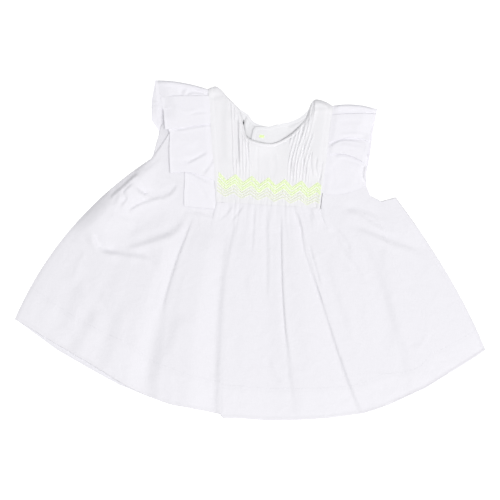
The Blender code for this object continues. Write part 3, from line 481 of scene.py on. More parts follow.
def fan(lines, fine, down, at_underarm, passes):
    """The grid between fold lines: x, y and the height off the flat panel. Columns fan out to the hem."""
    table = []
    for name, top_x, top_y, middle_x, middle_y, hem_x, hem_y, top_z, middle_z, hem_z, _ in lines:
        routes = ((top_x, middle_x, hem_x), (top_y, middle_y, hem_y), (top_z, middle_z, hem_z))
        near = at_underarm.get(name, [through(*route, passes) for route in routes])
        table.append([(start, by, middle, end) for (start, middle, end), by in zip(routes, near)])
    table = np.array(table, float)
    columns = []
    for here, after, line in zip(table, table[1:], lines):
        steps = line[10] * fine
        columns += [(here, after, step / steps) for step in range(steps)]
    columns.append((table[-1], table[-1], 0.0))
    grid = np.zeros((len(down), len(columns), 3))
    for j, (here, after, share) in enumerate(columns):
        grid[:, j, 0] = route_at(mix(here[0], after[0], share), passes, down)
        grid[:, j, 1] = route_at(mix(here[1], after[1], share), passes, down)
        grid[:, j, 2] = np.maximum(0.0, route_at(mix(here[2], after[2], ease(share)), passes, down))
    return grid


def creased(x, y, creases):
    """How far the creases move the cloth: troughs sink it, steps lift the side towards the lower right."""
    moved = np.zeros_like(x)
    for route, depth, half, step in creases:
        path = smooth_route(route, CREASE_SPACING)
        reach = 3.0 * half
        low, high = path.min(axis=0) - reach, path.max(axis=0) + reach
        near = (x > low[0]) & (x < high[0]) & (y > low[1]) & (y < high[1])
        if not near.any():
            continue
        from_x, from_y = x[near][:, None] - path[:, 0], y[near][:, None] - path[:, 1]
        away = np.hypot(from_x, from_y)
        nearest = away.argmin(axis=1)
        pick = np.arange(len(nearest)), nearest
        heading, chord = np.gradient(path, axis=0)[nearest], path[-1] - path[0]
        on_left = heading[:, 0] * from_y[pick] > heading[:, 1] * from_x[pick]
        left_is_high = chord[0] * STEPS_TO[1] > chord[1] * STEPS_TO[0]
        side = np.where(on_left == left_is_high, 1.0, -1.0)
        along, away = nearest / (len(path) - 1), away[pick] / half
        fade = ease(along * 6.0) * ease((1.0 - along) * 4.0)
        trough = (1.0 - np.minimum(away, 1.0) ** 2) ** 2
        swing = side * away * np.exp(0.5 * (1.0 - away ** 2))
        moved[near] += fade * (step * swing - depth * trough)
    return moved


def turned_edge(sheet, side, low):
    """Rounds one edge of a laid cloth down to this height, within the last step of its grid."""
    lines = np.moveaxis(sheet, 1, 0) if side in ("left", "right") else sheet
    lines = lines[::-1] if side in ("right", "hem") else lines
    rim = []
    for share in EDGE_STEPS:
        line = mix(lines[0], lines[1], share)
        drop = 1.0 - math.sqrt(1.0 - (1.0 - share) ** 2)
        line[:, 2] = mix(line[:, 2], np.minimum(line[:, 2], low), drop)
        rim.append(line)
    lines = np.concatenate([np.array(rim), lines[1:]])
    lines = lines[::-1] if side in ("right", "hem") else lines
    return np.moveaxis(lines, 0, 1) if side in ("left", "right") else lines


def smooth_route(route, spacing=1.0):
    """The points of a route, rounded through its corners."""
    points = np.array(route, float)
    ends = np.concatenate([points[:1] * 2 - points[1:2], points, points[-1:] * 2 - points[-2:-1]])
    run = []
    for a, b, c, d in zip(ends, ends[1:], ends[2:], ends[3:]):
        share = np.linspace(0, 1, max(2, int(math.dist(b, c) / spacing)), endpoint=False)[:, None]
        curve = 2 * b + (c - a) * share + (2 * a - 5 * b + 4 * c - d) * share ** 2
        run.append((curve + (3 * b - 3 * c + d - a) * share ** 3) / 2)
    run.append(points[-1:])
    return np.concatenate(run)


def away_from(points, x, y):
    """How far each place is from the nearest point of a route."""
    nearest = np.full(x.shape, 1e9)
    for px, py in points:
        nearest = np.minimum(nearest, np.hypot(x - px, y - py))
    return nearest


# ---------------------------------------------------------------- meshes

def placed(points):
    """Garment millimetres to the frame's metres."""
    return (np.asarray(points, float) + (CENTRE_FRONT_X, SMOCKED_SEAM_Y, 0.0)) * MM


def plain_mesh(name, points, faces, material):
    """A smooth-shaded object, in the scene, with its place in its mesh."""
    mesh = bpy.data.meshes.new(name)
    mesh.from_pydata([tuple(point) for point in points], [], faces)
    mesh.materials.append(material)
    mesh.shade_smooth()
    piece = bpy.data.objects.new(name, mesh)
    bpy.context.collection.objects.link(piece)
    return piece


def cloth_shell(name, upper, lower, along, doubled, material):
    """A closed thin cloth between two grids, with its own weave directions and doubled places."""
    rows, columns = upper.shape[:2]
    count = rows * columns
    points = placed(np.concatenate([upper.reshape(-1, 3), lower.reshape(-1, 3)]))
    points[:, 2] = np.maximum(points[:, 2], LOWEST * MM)
    number = np.arange(count).reshape(rows, columns)
    a, b, c, d = number[:-1, :-1], number[1:, :-1], number[1:, 1:], number[:-1, 1:]
    top = np.stack([a, b, c, d], axis=-1).reshape(-1, 4)
    edge = np.concatenate([number[:, 0], number[-1, 1:], number[-2::-1, -1], number[0, -2:0:-1]])
    after = np.roll(edge, -1)
    sides = np.stack([after, edge, count + edge, count + after], axis=-1)
    faces = np.concatenate([top, count + top[:, ::-1], sides])
    corners = points[top[:, 0]], points[top[:, 1]], points[top[:, 2]]
    facing = np.cross(corners[1] - corners[0], corners[2] - corners[0])
    up = points[:count] - points[count:]
    if (facing * up[top[:, 0]]).sum() < 0:
        faces = faces[:, ::-1]
    piece = plain_mesh(name, points, faces.tolist(), material)
    mesh = piece.data
    mesh.set_sharp_from_angle(angle=math.radians(SHARP_EDGE))
    loops = np.zeros(len(mesh.loops), np.int32)
    mesh.loops.foreach_get("vertex_index", loops)
    flat = np.tile(along.reshape(-1, 2), (2, 1))
    mesh.uv_layers.new(name="cloth").data.foreach_set("uv", (flat[loops] * MM).ravel())
    layer = mesh.attributes.new("doubled", "FLOAT", "POINT")
    layer.data.foreach_set("value", np.tile(doubled.ravel(), 2).astype(np.float32))
    return piece


def laid_cloth(name, top, thickness, doubled, material):
    """Cloth that lies level enough for its thickness to be measured straight down."""
    lower = top.copy()
    lower[:, :, 2] -= thickness
    return cloth_shell(name, top, lower, top[:, :, :2], doubled, material)


# ---------------------------------------------------------------- materials

def new_group(name, inputs, outputs):
    """A shader node group with these sockets."""
    group = bpy.data.node_groups.new(name, "ShaderNodeTree")
    for label, kind, value in inputs:
        socket = group.interface.new_socket(name=label, in_out="INPUT", socket_type=kind)
        if value is not None:
            socket.default_value = value
    for label, kind in outputs:
        group.interface.new_socket(name=label, in_out="OUTPUT", socket_type=kind)
    return group, group.nodes.new("NodeGroupInput"), group.nodes.new("NodeGroupOutput")


def node(tree, kind, **settings):
    """A node with its settings, and with constants or links in its numbered or named inputs."""
    made = tree.nodes.new(kind)
    feeds = settings.pop("feeds", {})
    for label, value in settings.items():
        setattr(made, label, value)
    for socket, value in feeds.items():
        if isinstance(value, bpy.types.NodeSocket):
            tree.links.new(value, made.inputs[socket])
        else:
            made.inputs[socket].default_value = value
    return made


def maths(tree, operation, first, second=0.0):
    """The outcome of one sum."""
    return node(tree, "ShaderNodeMath", operation=operation, feeds={0: first, 1: second}).outputs[0]


def new_material(name, roughness):
    """A material, its nodes and its surface."""
    material = bpy.data.materials.new(name)
    material.use_nodes = True
    surface = material.node_tree.nodes["Principled BSDF"]
    surface.inputs["Roughness"].default_value = roughness
    return material, material.node_tree, surface


def speckled(tree, surface, noise, shades):
    """Colours a surface between two shades, by noise on the object's own coordinates."""
    place = node(tree, "ShaderNodeTexCoord").outputs["Object"]
    grain = node(tree, "ShaderNodeTexNoise", feeds={"Vector": place, **noise}).outputs["Fac"]
    shade = node(
        tree, "ShaderNodeMix", data_type="RGBA",
        feeds={"Factor": grain, "A": shades[0], "B": shades[1]},
    )
    tree.links.new(shade.outputs["Result"], surface.inputs["Base Color"])
    return grain


def make_weave_group():
    """Plain-woven cotton: threads over and under each other, thick and thin, and soft small wrinkles."""
    group, given, result = new_group(
        "plain weave",
        (
            ("Cloth", "NodeSocketVector", None),
            ("Threads per metre", "NodeSocketFloat", 2600.0),
            ("Wrinkles per metre", "NodeSocketFloat", 55.0),
        ),
        (("Weave", "NodeSocketFloat"), ("Wrinkles", "NodeSocketFloat"), ("Thickness", "NodeSocketFloat")),
    )
    cloth = given.outputs["Cloth"]
    parts = node(group, "ShaderNodeSeparateXYZ", feeds={0: cloth})
    waves = []
    for side in ("X", "Y"):
        turns = maths(group, "MULTIPLY", parts.outputs[side], given.outputs["Threads per metre"])
        waves.append(maths(group, "SINE", maths(group, "MULTIPLY", turns, math.pi)))
    over = maths(group, "MULTIPLY", waves[0], waves[1])
    weave = maths(group, "MULTIPLY", maths(group, "ABSOLUTE", over), 0.5)
    weave = maths(group, "ADD", weave, maths(group, "MULTIPLY", over, 0.25))
    slubs = []
    for stretch in ((1500.0, 90.0, 1.0), (90.0, 1500.0, 1.0)):
        run = node(group, "ShaderNodeMapping", feeds={"Vector": cloth, "Scale": stretch})
        feeds = {"Vector": run.outputs[0], "Scale": 1.0, "Detail": 2.0}
        slubs.append(node(group, "ShaderNodeTexNoise", feeds=feeds).outputs["Fac"])
    slub = maths(group, "MULTIPLY", maths(group, "ADD", slubs[0], slubs[1]), 0.5)
    wrinkle = node(
        group, "ShaderNodeTexNoise",
        feeds={
            "Vector": cloth, "Scale": given.outputs["Wrinkles per metre"],
            "Detail": 3.0, "Roughness": 0.55, "Distortion": 0.9,
        },
    )
    group.links.new(weave, result.inputs["Weave"])
    group.links.new(wrinkle.outputs["Fac"], result.inputs["Wrinkles"])
    group.links.new(slub, result.inputs["Thickness"])
    return group


def cotton(name, weave, single_colour, doubled_colour, wrinkle_height):
    """White cotton. Single cloth lets a little of what is under it through, doubled cloth is fuller."""
    material, tree, surface = new_material(name, 0.85)
    place = node(tree, "ShaderNodeUVMap", uv_map="cloth").outputs[0]
    woven = node(tree, "ShaderNodeGroup", node_tree=weave, feeds={"Cloth": place})
    mottle = node(tree, "ShaderNodeTexNoise", feeds={"Vector": place, "Scale": 22.0, "Detail": 2.0})
    doubled = node(tree, "ShaderNodeAttribute", attribute_name="doubled").outputs["Fac"]
    fuller = maths(tree, "ADD", maths(tree, "MULTIPLY", mottle.outputs["Fac"], 0.45), doubled)
    base = node(
        tree, "ShaderNodeMix", data_type="RGBA", clamp_factor=True,
        feeds={"Factor": fuller, "A": single_colour, "B": doubled_colour},
    )
    shade = maths(tree, "ADD", maths(tree, "MULTIPLY", woven.outputs["Thickness"], 0.10), 0.95)
    shaded = node(
        tree, "ShaderNodeVectorMath", operation="SCALE",
        feeds={0: base.outputs["Result"], "Scale": shade},
    )
    tree.links.new(shaded.outputs[0], surface.inputs["Base Color"])
    wrinkles = node(
        tree, "ShaderNodeBump",
        feeds={"Strength": 1.0, "Distance": wrinkle_height, "Height": woven.outputs["Wrinkles"]},
    )
    threads = node(
        tree, "ShaderNodeBump",
        feeds={
            "Strength": 0.35, "Distance": 0.00006,
            "Height": woven.outputs["Weave"], "Normal": wrinkles.outputs[0],
        },
    )
    tree.links.new(threads.outputs[0], surface.inputs["Normal"])
    surface.inputs["Sheen Weight"].default_value = 0.02
    surface.inputs["Sheen Roughness"].default_value = 0.45
    return material


def thread(name, colour, painted_glow):
    """Twisted cotton thread."""
    material, tree, surface = new_material(name, 0.6)
    shaded = tuple(part * 0.86 for part in colour[:3]) + (1.0,)
    strands = speckled(tree, surface, {"Scale": 2200.0, "Detail": 1.0}, (shaded, colour))
    twist = node(tree, "ShaderNodeBump", feeds={"Strength": 0.4, "Distance": 0.0001, "Height": strands})
    tree.links.new(twist.outputs[0], surface.inputs["Normal"])
    surface.inputs["Sheen Weight"].default_value = 0.2
    # Painted glow: fluorescent threads emit light of their own here, though they are no lamp.
    if painted_glow:
        surface.inputs["Emission Color"].default_value = colour
        surface.inputs["Emission Strength"].default_value = painted_glow
    return material


def pearl_shell(name):
    """A pearly button: cloudy, with a soft clear surface."""
    material, tree, surface = new_material(name, 0.3)
    speckled(tree, surface, {"Scale": 260.0, "Distortion": 1.5}, PEARL)
    surface.inputs["Coat Weight"].default_value = 0.4
    return material


# ---------------------------------------------------------------- sewing

def make_stitch_tree():
    """Stitches of one thread along a path, a little uneven."""
    tree = bpy.data.node_groups.new("stitches along a path", "GeometryNodeTree")
    sockets = (
        ("Geometry", "NodeSocketGeometry", None),
        ("Pitch", "NodeSocketFloat", 0.003),
        ("Length", "NodeSocketFloat", 0.0026),
        ("Thickness", "NodeSocketFloat", 0.0004),
        ("Unevenness", "NodeSocketFloat", 0.12),
        ("Seed", "NodeSocketInt", 0),
        ("Thread", "NodeSocketMaterial", None),
    )
    for label, kind, value in sockets:
        socket = tree.interface.new_socket(name=label, in_out="INPUT", socket_type=kind)
        if value is not None:
            socket.default_value = value
    tree.interface.new_socket(name="Geometry", in_out="OUTPUT", socket_type="NodeSocketGeometry")
    given, result = tree.nodes.new("NodeGroupInput"), tree.nodes.new("NodeGroupOutput")

    def value_of(label):
        return given.outputs[label]

    path = node(tree, "GeometryNodeMeshToCurve", feeds={0: value_of("Geometry")})
    points = node(
        tree, "GeometryNodeCurveToPoints", mode="LENGTH",
        feeds={"Curve": path.outputs[0], "Length": value_of("Pitch")},
    )
    ball = node(tree, "GeometryNodeMeshUVSphere", feeds={"Segments": 6, "Rings": 6, "Radius": 0.5})
    size = node(
        tree, "ShaderNodeCombineXYZ",
        feeds={"X": value_of("Thickness"), "Y": value_of("Thickness"), "Z": value_of("Length")},
    )
    low = maths(tree, "SUBTRACT", 1.0, value_of("Unevenness"))
    high = maths(tree, "ADD", 1.0, value_of("Unevenness"))
    wander = node(
        tree, "FunctionNodeRandomValue", data_type="FLOAT",
        feeds={2: low, 3: high, "Seed": value_of("Seed")},
    )
    sized = node(
        tree, "ShaderNodeVectorMath", operation="SCALE",
        feeds={0: size.outputs[0], "Scale": wander.outputs[1]},
    )
    stitches = node(
        tree, "GeometryNodeInstanceOnPoints",
        feeds={
            "Points": points.outputs["Points"], "Instance": ball.outputs["Mesh"],
            "Rotation": points.outputs["Rotation"], "Scale": sized.outputs[0],
        },
    )
    real = node(tree, "GeometryNodeRealizeInstances", feeds={0: stitches.outputs[0]})
    smooth = node(tree, "GeometryNodeSetShadeSmooth", feeds={0: real.outputs[0]})
    coloured = node(
        tree, "GeometryNodeSetMaterial",
        feeds={"Geometry": smooth.outputs[0], "Material": value_of("Thread")},
    )
    tree.links.new(coloured.outputs[0], result.inputs[0])
    return tree


def sew(name, tree, paths, colour, pitch, length, thickness, seed, uneven=0.12):
    """One mesh of stitches along these paths, in garment millimetres."""
    points, edges = [], []
    for path in paths:
        start = len(points)
        points += [tuple(point) for point in placed(path)]
        edges += [(start + k, start + k + 1) for k in range(len(path) - 1)]
    mesh = bpy.data.meshes.new(name + " path")
    mesh.from_pydata(points, edges, [])
    guide = bpy.data.objects.new(name + " path", mesh)
    bpy.context.collection.objects.link(guide)
    sewing = guide.modifiers.new("stitches", "NODES")
    sewing.node_group = tree
    given = {
        "Pitch": pitch * MM, "Length": length * MM, "Thickness": thickness * MM,
        "Unevenness": uneven, "Seed": seed, "Thread": colour,
    }
    for item in tree.interface.items_tree:
        if item.in_out == "INPUT" and item.name in given:
            sewing[item.identifier] = given[item.name]
    ready = guide.evaluated_get(bpy.context.evaluated_depsgraph_get())
    stitched = bpy.data.meshes.new_from_object(ready)
    stitched.name = name
    bpy.data.objects.remove(guide, do_unlink=True)
    piece = bpy.data.objects.new(name, stitched)
    bpy.context.collection.objects.link(piece)
    return piece


def lie_on(grid, x, y):
    """The height of a cloth's upper side at these places, from the nearest points of its grid."""
    flat = grid.reshape(-1, 3)
    nearest = [np.hypot(flat[:, 0] - px, flat[:, 1] - py).argmin() for px, py in zip(x, y)]
    return flat[nearest, 2]


# ---------------------------------------------------------------- skirts

def skirt_gathers(x, y, down):
    """Gathers below the smocked seam, which run down a different way each, and the climb to the seam."""
    at_seam = (x[0] - YOKE_LEFT_LOW[0]) / (YOKE_RIGHT_LOW[0] - YOKE_LEFT_LOW[0])
    gathered = (at_seam > 0) & (at_seam < 1) & (y[0] < 0)
    reach = mix(*GATHER_REACH, 0.5 + 0.5 * unevenness(at_seam * 23.0, 5.0))
    gathers = GATHER_HEIGHT * gather_wave(at_seam) * gathered * within(down, reach)
    return gathers, (YOKE_Z - FRONT_Z) * gathered * within(down, JOIN_FADE)


def side_roll(from_side, down):
    """The soft roll along the skirt's left side."""
    starts, full, fades, ends = SIDE_ROLL_SPAN
    along_side = ramp(down, starts, full) * ramp(down, ends, fades)
    rolled = np.sin(np.clip(from_side / SIDE_ROLL_WIDTH, 0, 1) * SIDE_ROLL_ARC) / math.sin(SIDE_ROLL_ARC)
    rolled *= within(from_side - SIDE_ROLL_WIDTH, SIDE_ROLL_LEVELS)
    return SIDE_ROLL * rolled * along_side


def edge_curls(x, y, from_side, down):
    """The hem and the right side curl up a little. The left side sinks at its edge."""
    from_right, from_hem = np.hypot(x - x[:, -1:], y - y[:, -1:]), np.hypot(x - x[-1:], y - y[-1:])
    curls = HEM_CURLS * within(from_hem, CURLS_WITHIN) * ease(from_side / CURLS_FROM_SIDE)
    curls += SIDE_CURLS * within(from_right, CURLS_WITHIN) * ramp(down, *SIDE_CURLS_FROM)
    return curls - SIDE_SINKS * within(from_side, SIDE_SINKS_WITHIN)


def laid_skirt(name, sheet, material):
    """A skirt from its grid, in which each place's fourth value is 1 where the hem doubles it."""
    top, hem = sheet[:, :, :3], sheet[:, :, 3]
    return laid_cloth(name, top, mix(COTTON, DOUBLED, hem), hem, material), top


def make_skirt_front(material):
    """The front skirt lies over the back: folds, creases, gathers, rolled edges and hem."""
    down = np.linspace(0.0, 1.0, SKIRT_ROWS) ** SKIRT_ROW_POWER
    top = fan(SKIRT_FRONT, SKIRT_FINE, down, AT_UNDERARM_FRONT, FRONT_PASSES)
    x, y, folds = top[:, :, 0], top[:, :, 1], top[:, :, 2]
    down = down[:, None]
    free = 1.0 - covered(x, y, COVERED, COVER_RAMP)
    in_sight = 1.0 - covered(x, y, HIDDEN, CREASE_RAMP)
    from_side = np.hypot(x - x[:, :1], y - y[:, :1])
    gathers, join = skirt_gathers(x, y, down)
    creases = creased(x, y, [row[1:] for row in SKIRT_CREASES]) * mix(HIDDEN_CREASES, 1.0, in_sight)
    mottle = unevenness(x / 8.0 + y / 21.0, 1.3) * unevenness(y / 11.0 - x / 27.0, 0.6)
    lift = folds * free + creases + gathers
    lift += side_roll(from_side, down) * free + edge_curls(x, y, from_side, down)
    lift += MOTTLE * mottle * ease(from_side / CURLS_FROM_SIDE) * ease(down / MOTTLE_FROM) * in_sight

    climb = strip_climb(x, y, FRONT_AHEAD, FRONT_LOWER)
    top[:, :, 2] = np.maximum(LOWEST_FRONT + climb, FRONT_Z + WALL + climb + lift + join)
    hem = ease((down - HEM_STARTS) / HEM_RAMP) * np.ones_like(x)
    top[:, :, 2] += HEM_HEIGHT * hem - HEM_LINE_DEPTH * np.exp(-((down - HEM_STARTS) / HEM_LINE) ** 2)

    sheet = np.dstack([top, hem])
    for side in ("left", "right", "hem"):
        sheet = turned_edge(sheet, side, EDGE_LOW)
    at_armhole = within(sheet[0, :, 0] - ARMHOLE_FROM, 4.0)
    sheet = turned_edge(sheet, "top", mix(EDGE_LOW, sheet[0, :, 2], at_armhole))
    return laid_skirt("skirt_front_cloth", sheet, material)


def make_skirt_back(material):
    """The back skirt lies flat under the front one."""
    down = np.linspace(0.0, 1.0, BACK_ROWS)
    top = fan(SKIRT_BACK, BACK_FINE, down, AT_UNDERARM_BACK, BACK_PASSES)
    x, y = top[:, :, 0], top[:, :, 1]
    hem = ease((down[:, None] - HEM_STARTS) / HEM_RAMP) * np.ones_like(x)
    top[:, :, 2] = WALL * 0.55 + 0.3 * hem + strip_climb(x, y)
    top[:, :, 2] += 0.08 * unevenness(x / 9.0 + y / 31.0, 1.0)
    sheet = np.dstack([top, hem])
    for side in ("left", "hem"):
        sheet = turned_edge(sheet, side, BACK_EDGE_LOW)
    return laid_skirt("skirt_back_cloth", sheet, material)


# ---------------------------------------------------------------- yoke

def yoke_columns(shares, seam, neck):
    """Straight lines from the lower seam up to the neck, leaning with the side seams."""
    bottoms = [mix(np.array(seam[0]), np.array(seam[1]), share) for share in shares]
    heads = [mix(np.array(neck[0]), np.array(neck[-1]), share) for share in shares]
    tops = []
    for bottom, head in zip(bottoms, heads):
        reach = np.linspace(0.3, 1.2, 1500)
        line = mix(bottom, head, reach[:, None])
        above = line[:, 1] >= across(neck, line[:, 0])
        tops.append(line[np.argmax(above)] if above.any() else line[-1])
    return np.array(bottoms), np.array(tops)


def tucks(cell, phase, y):
    """Pressed pintucks: each rises gently and drops at its fold, and none is quite like the next."""
    lean = 0.5 + 0.16 * unevenness(y / 17.0 + cell * 1.3, 0.5)
    rises = ramp(phase - lean, -0.42, -0.06) * within(phase - lean, 0.13)
    return rises * (0.75 + 0.3 * unevenness(cell * 2.1, 3.0))


def reeds(cell, phase, y):
    """Rounded tubes of gathered cloth, drawn in by the smocking."""
    middle = 2.0 * phase - 1.0 + 0.10 * unevenness(y / 5.0 + cell * 0.9, 1.7)
    return np.sqrt(np.maximum(0.0, 1.0 - middle ** 2)) * (0.9 + 0.12 * unevenness(cell * 1.7, 0.3))


def divided(along):
    """Which reed or tuck a place is in, and how far across it."""
    return np.floor(along), along - np.floor(along)


def yoke_relief(shares, y, from_seam):
    """How high the yoke's cloth is raised: gathers at its seam, reeds by the smocking, tucks above."""
    along = shares * REEDS * np.ones_like(y)
    leaning = along - TUCKS_BEND * ramp(y, *TUCKS_BEND_FROM) * (shares > 0.5)
    tucked = np.zeros_like(shares)
    for start, end in TUCKED:
        inside = np.minimum(shares - start, end - shares)
        tucked = np.maximum(tucked, ease(inside / TUCKED_RAMP))
    low = 1.0 - ramp(y, *REEDS_FADE)
    seam = 1.0 - ramp(from_seam, *GATHERS_FADE)
    raised = REED_HEIGHT * reeds(*divided(along), y) * low * (1.0 - seam)
    raised += (GATHER_HEIGHT * gather_wave(shares) + SEAM_ABOVE) * seam
    return raised + TUCK_HEIGHT * tucks(*divided(leaning), y) * tucked * (1.0 - low)


def shoulder_turn(x, away):
    """The shoulders puff up, then turn down in a quarter circle at their fold."""
    shoulder = (x < SHOULDERS[0]) | (x > SHOULDERS[1])
    inside = np.clip(away / SHOULDER_TURN, 0.0, 1.0)
    turn = (1.0 - np.sqrt(1.0 - (1.0 - inside) ** 2)) * shoulder
    puff = SHOULDER_PUFF * ease(inside) * within(away - SHOULDER_TURN, 6.0) * shoulder
    return puff - (YOKE_Z + WALL - SHOULDER_LOW) * turn


def yoke_rises(x, y, away):
    """Broad rises of the whole yoke, which end before its neck and above the smocking."""
    rises = np.zeros_like(x)
    for start, end, height, falls, level in YOKE_RISES:
        rises += height * ramp(x, start, end) * ramp(x, level, falls)
    return rises * ease(away / NECK_REACH) * ramp(y, *YOKE_RISES_ABOVE)


def neck_binding(away):
    """A rolled binding, with a groove along it."""
    half = BINDING_WIDTH / 2
    roll = BINDING_HEIGHT * np.sqrt(np.maximum(0.0, 1.0 - ((away - half) / half) ** 2))
    return roll - BINDING_GROOVE * np.exp(-((away - BINDING_WIDTH - 0.6) / 0.8) ** 2)


def make_yoke_front(material):
    """The front yoke, from its neck and shoulders down to the smocked seam."""
    neck = smooth_route(FRONT_NECK, 0.4)
    shares = np.linspace(0.0, 1.0, REEDS * REED_FINE + 1)
    bottoms, tops = yoke_columns(shares, (YOKE_LEFT_LOW, YOKE_RIGHT_LOW), neck)
    bottoms[:, 1] -= SEAM_OVERHANG + SEAM_CORNERS * (2.0 * shares - 1.0) ** 6
    lean = (tops - bottoms) / (tops - bottoms)[:, 1:]
    band = bottoms + lean * (SMOCKING_TOP - bottoms[:, 1:])
    rows = [mix(tops, band, share) for share in np.linspace(0, 1, TUCK_ROWS, endpoint=False)]
    rows += [mix(band, bottoms, share) for share in np.linspace(0, 1, BAND_ROWS)]
    top = np.zeros((len(rows), len(shares), 3))
    top[:, :, :2] = rows
    x, y = top[:, :, 0], top[:, :, 1]

    away = away_from(neck, x, y)
    middle = ((x > SHOULDERS[0] - 4) & (x < SHOULDERS[1])).astype(float)
    from_side = np.minimum(shares, 1.0 - shares) * np.ptp(bottoms[:, 0])
    base = YOKE_Z + WALL + button_lift(x, y, 2) + shoulder_turn(x, away) + yoke_rises(x, y, away)
    base += SIDE_SEAM_HEIGHT * (1.0 - ramp(from_side, *SIDE_SEAM_WIDTHS))
    beside = mix(1.0, ease(away / (BINDING_WIDTH + 2.0)), middle)
    z = base + yoke_relief(shares, y, y - bottoms[:, 1]) * beside + neck_binding(away) * middle
    z = np.maximum(z + creased(x, y, [row[1:] for row in YOKE_CREASES]), base - YOKE_SINKS)
    top[:, :, 2] = z - NECK_DROP * within(away, BINDING_WIDTH / 2) * middle
    doubled = within(away - BINDING_WIDTH, DOUBLED_FADE) * middle
    return laid_cloth("yoke_front_cloth", top, COTTON, doubled, material), top


def laid_back_yoke(name, x, y, away, from_neck, level, crease, wander, material):
    """Half of the back yoke, with its turned and stitched edges. Its neck stands up a little."""
    rise = BACK_NECK_STANDS * within(from_neck, BACK_NECK_REACH) + wander
    rise += BACK_HEM_HEIGHT * within(away - BACK_HEM_WIDTH, DOUBLED_FADE)
    rise -= BACK_HEM_LINE * np.exp(-((away - BACK_HEM_WIDTH - 0.6) / 0.7) ** 2)
    rise += creased(x, y, [crease[1:]])
    top = np.dstack([x, y, level + rise])
    return laid_cloth(name, top, COTTON, within(away - BACK_HEM_WIDTH, 1.0), material), top


def make_yoke_back_outer(neck, material):
    """The outer half lies under."""
    left, low_left = BACK_YOKE_SIDES[0], YOKE_LEFT_LOW[0]
    tops_x = np.concatenate([np.linspace(left, -50, 40, endpoint=False), np.linspace(-50, OUTER_END_X, 60)])
    feet_x = mix(low_left, OUTER_END_X, (tops_x - left) / (OUTER_END_X - left))
    depths = np.linspace(0.0, 1.0, OUTER_ROWS)[:, None] ** 1.25
    x, y = mix(tops_x, feet_x, depths), mix(across(neck, tops_x), BACK_YOKE_LOW_Y, depths)
    away = away_from(neck[::2], x, y)
    level = BACK_YOKE_Z + button_lift(x, y, 0)
    wander = 0.12 * unevenness(x / 6.0 + y / 11.0, 0.4)
    return laid_back_yoke(
        "yoke_back_outer_cloth", x, y, away, away, level, BACK_YOKE_CREASES[0], wander, material,
    )


def make_yoke_back_inner(neck, material):
    """The inner half lies over the outer one, with its rounded end in the neck."""
    end = smooth_route(PLACKET_END, 0.5)
    reached = np.concatenate([[0.0], np.cumsum(np.hypot(*np.diff(end, axis=0).T))])
    depths = np.linspace(0.0, 1.0, INNER_ROWS)[:, None] ** 1.4
    end_x, end_y = (np.interp(reached[-1] * depths, reached, end[:, k]) for k in (0, 1))
    right = BACK_YOKE_SIDES[1]
    tops_x = np.concatenate([np.linspace(-10, 24, 50, endpoint=False), np.linspace(24, right, 40)])
    x, y = mix(tops_x, tops_x - 1.0, depths), mix(across(neck, tops_x) - 0.5, BACK_YOKE_LOW_Y, depths)
    reach = np.linspace(1.0, 0.0, PLACKET_COLUMNS, endpoint=False)
    x, y = np.hstack([mix(x[:, :1], end_x, reach), x]), np.hstack([mix(y[:, :1], end_y, reach), y])
    from_neck = away_from(neck, x, y)
    away = np.minimum(from_neck, away_from(end, x, y))
    step_down = within(x - OUTER_END_X - OUTER_END_CLEAR, OUTER_END_RAMP)
    level = BACK_YOKE_Z + LAYER * step_down + button_lift(x, y, 1)
    wander = 0.10 * unevenness(x / 7.0 + y / 13.0, 1.1)
    return laid_back_yoke(
        "yoke_back_inner_cloth", x, y, away, from_neck, level, BACK_YOKE_CREASES[1], wander, material,
    )


# ---------------------------------------------------------------- ruffles

def seam_x(low, top, y):
    """Where the yoke's side seam is at this height. It runs straight on below the yoke."""
    return mix(low[0], top[0], (y - low[1]) / (top[1] - low[1]))


def fold_over(line, before, z, rise):
    """The half circle in which the cloth turns over and back at a fold, seen along the fold."""
    edge = np.gradient(line, axis=0)
    edge /= np.linalg.norm(edge, axis=1)[:, None]
    heading = line - before
    heading -= edge * np.sum(heading * edge, axis=1)[:, None]
    heading /= np.linalg.norm(heading, axis=1)[:, None]
    for step in range(TURN_STEPS + 1):
        angle = math.pi * step / TURN_STEPS
        out = heading * abs(rise) / 2 * math.sin(angle)
        height = z + rise * (1 - math.cos(angle)) / 2
        yield np.column_stack([line + out, np.full(RUFFLE_COLUMNS, height)])


def ruffle_path(rows, seam, clear):
    """The middle of the ruffle's cloth, row by row, with the name of each row's part in the table."""
    share = np.linspace(0.0, 1.0, RUFFLE_COLUMNS)[:, None]
    plans = []
    for name, inner_y, outer_x, outer_y, bow, z, turns, puff in rows:
        inner = np.array([seam_x(*seam, inner_y) + clear, inner_y])
        line = mix(inner, np.array([outer_x, outer_y], float), share)
        line[:, 1] += bow * 4 * share[:, 0] * (1 - share[:, 0])
        plans.append((name, line, z, turns, puff))
    path, spans = [], []
    for k, (name, line, z, turns, puff) in enumerate(plans):
        here = np.column_stack([line, np.full(RUFFLE_COLUMNS, z)])
        if path:
            last = path[-1]
            steps = max(2, int(np.linalg.norm(here - last, axis=1).max() / RUFFLE_STEP))
            for way in (step / steps for step in range(1, steps)):
                row = mix(last, here, way)
                row[:, 2] += puff * np.sin(np.pi * way) * (0.4 + 0.6 * share[:, 0])
                path.append(row)
                spans.append(name)
        if not turns:
            path.append(here)
            spans.append(name)
            continue
        at_shoulder = z == BACK_RUFFLE_Z
        rise = RUFFLE_Z - BACK_RUFFLE_Z if at_shoulder else math.copysign(LAYER, plans[k + 1][2] - z)
        path += fold_over(line, plans[k - 1][1], z, rise)
        spans += [name] * (TURN_STEPS // 2) + ["turned"] * (TURN_STEPS // 2 + 1)
        if at_shoulder:
            spans[-1 - TURN_STEPS // 2] = "shoulder fold"
    return np.array(path), spans


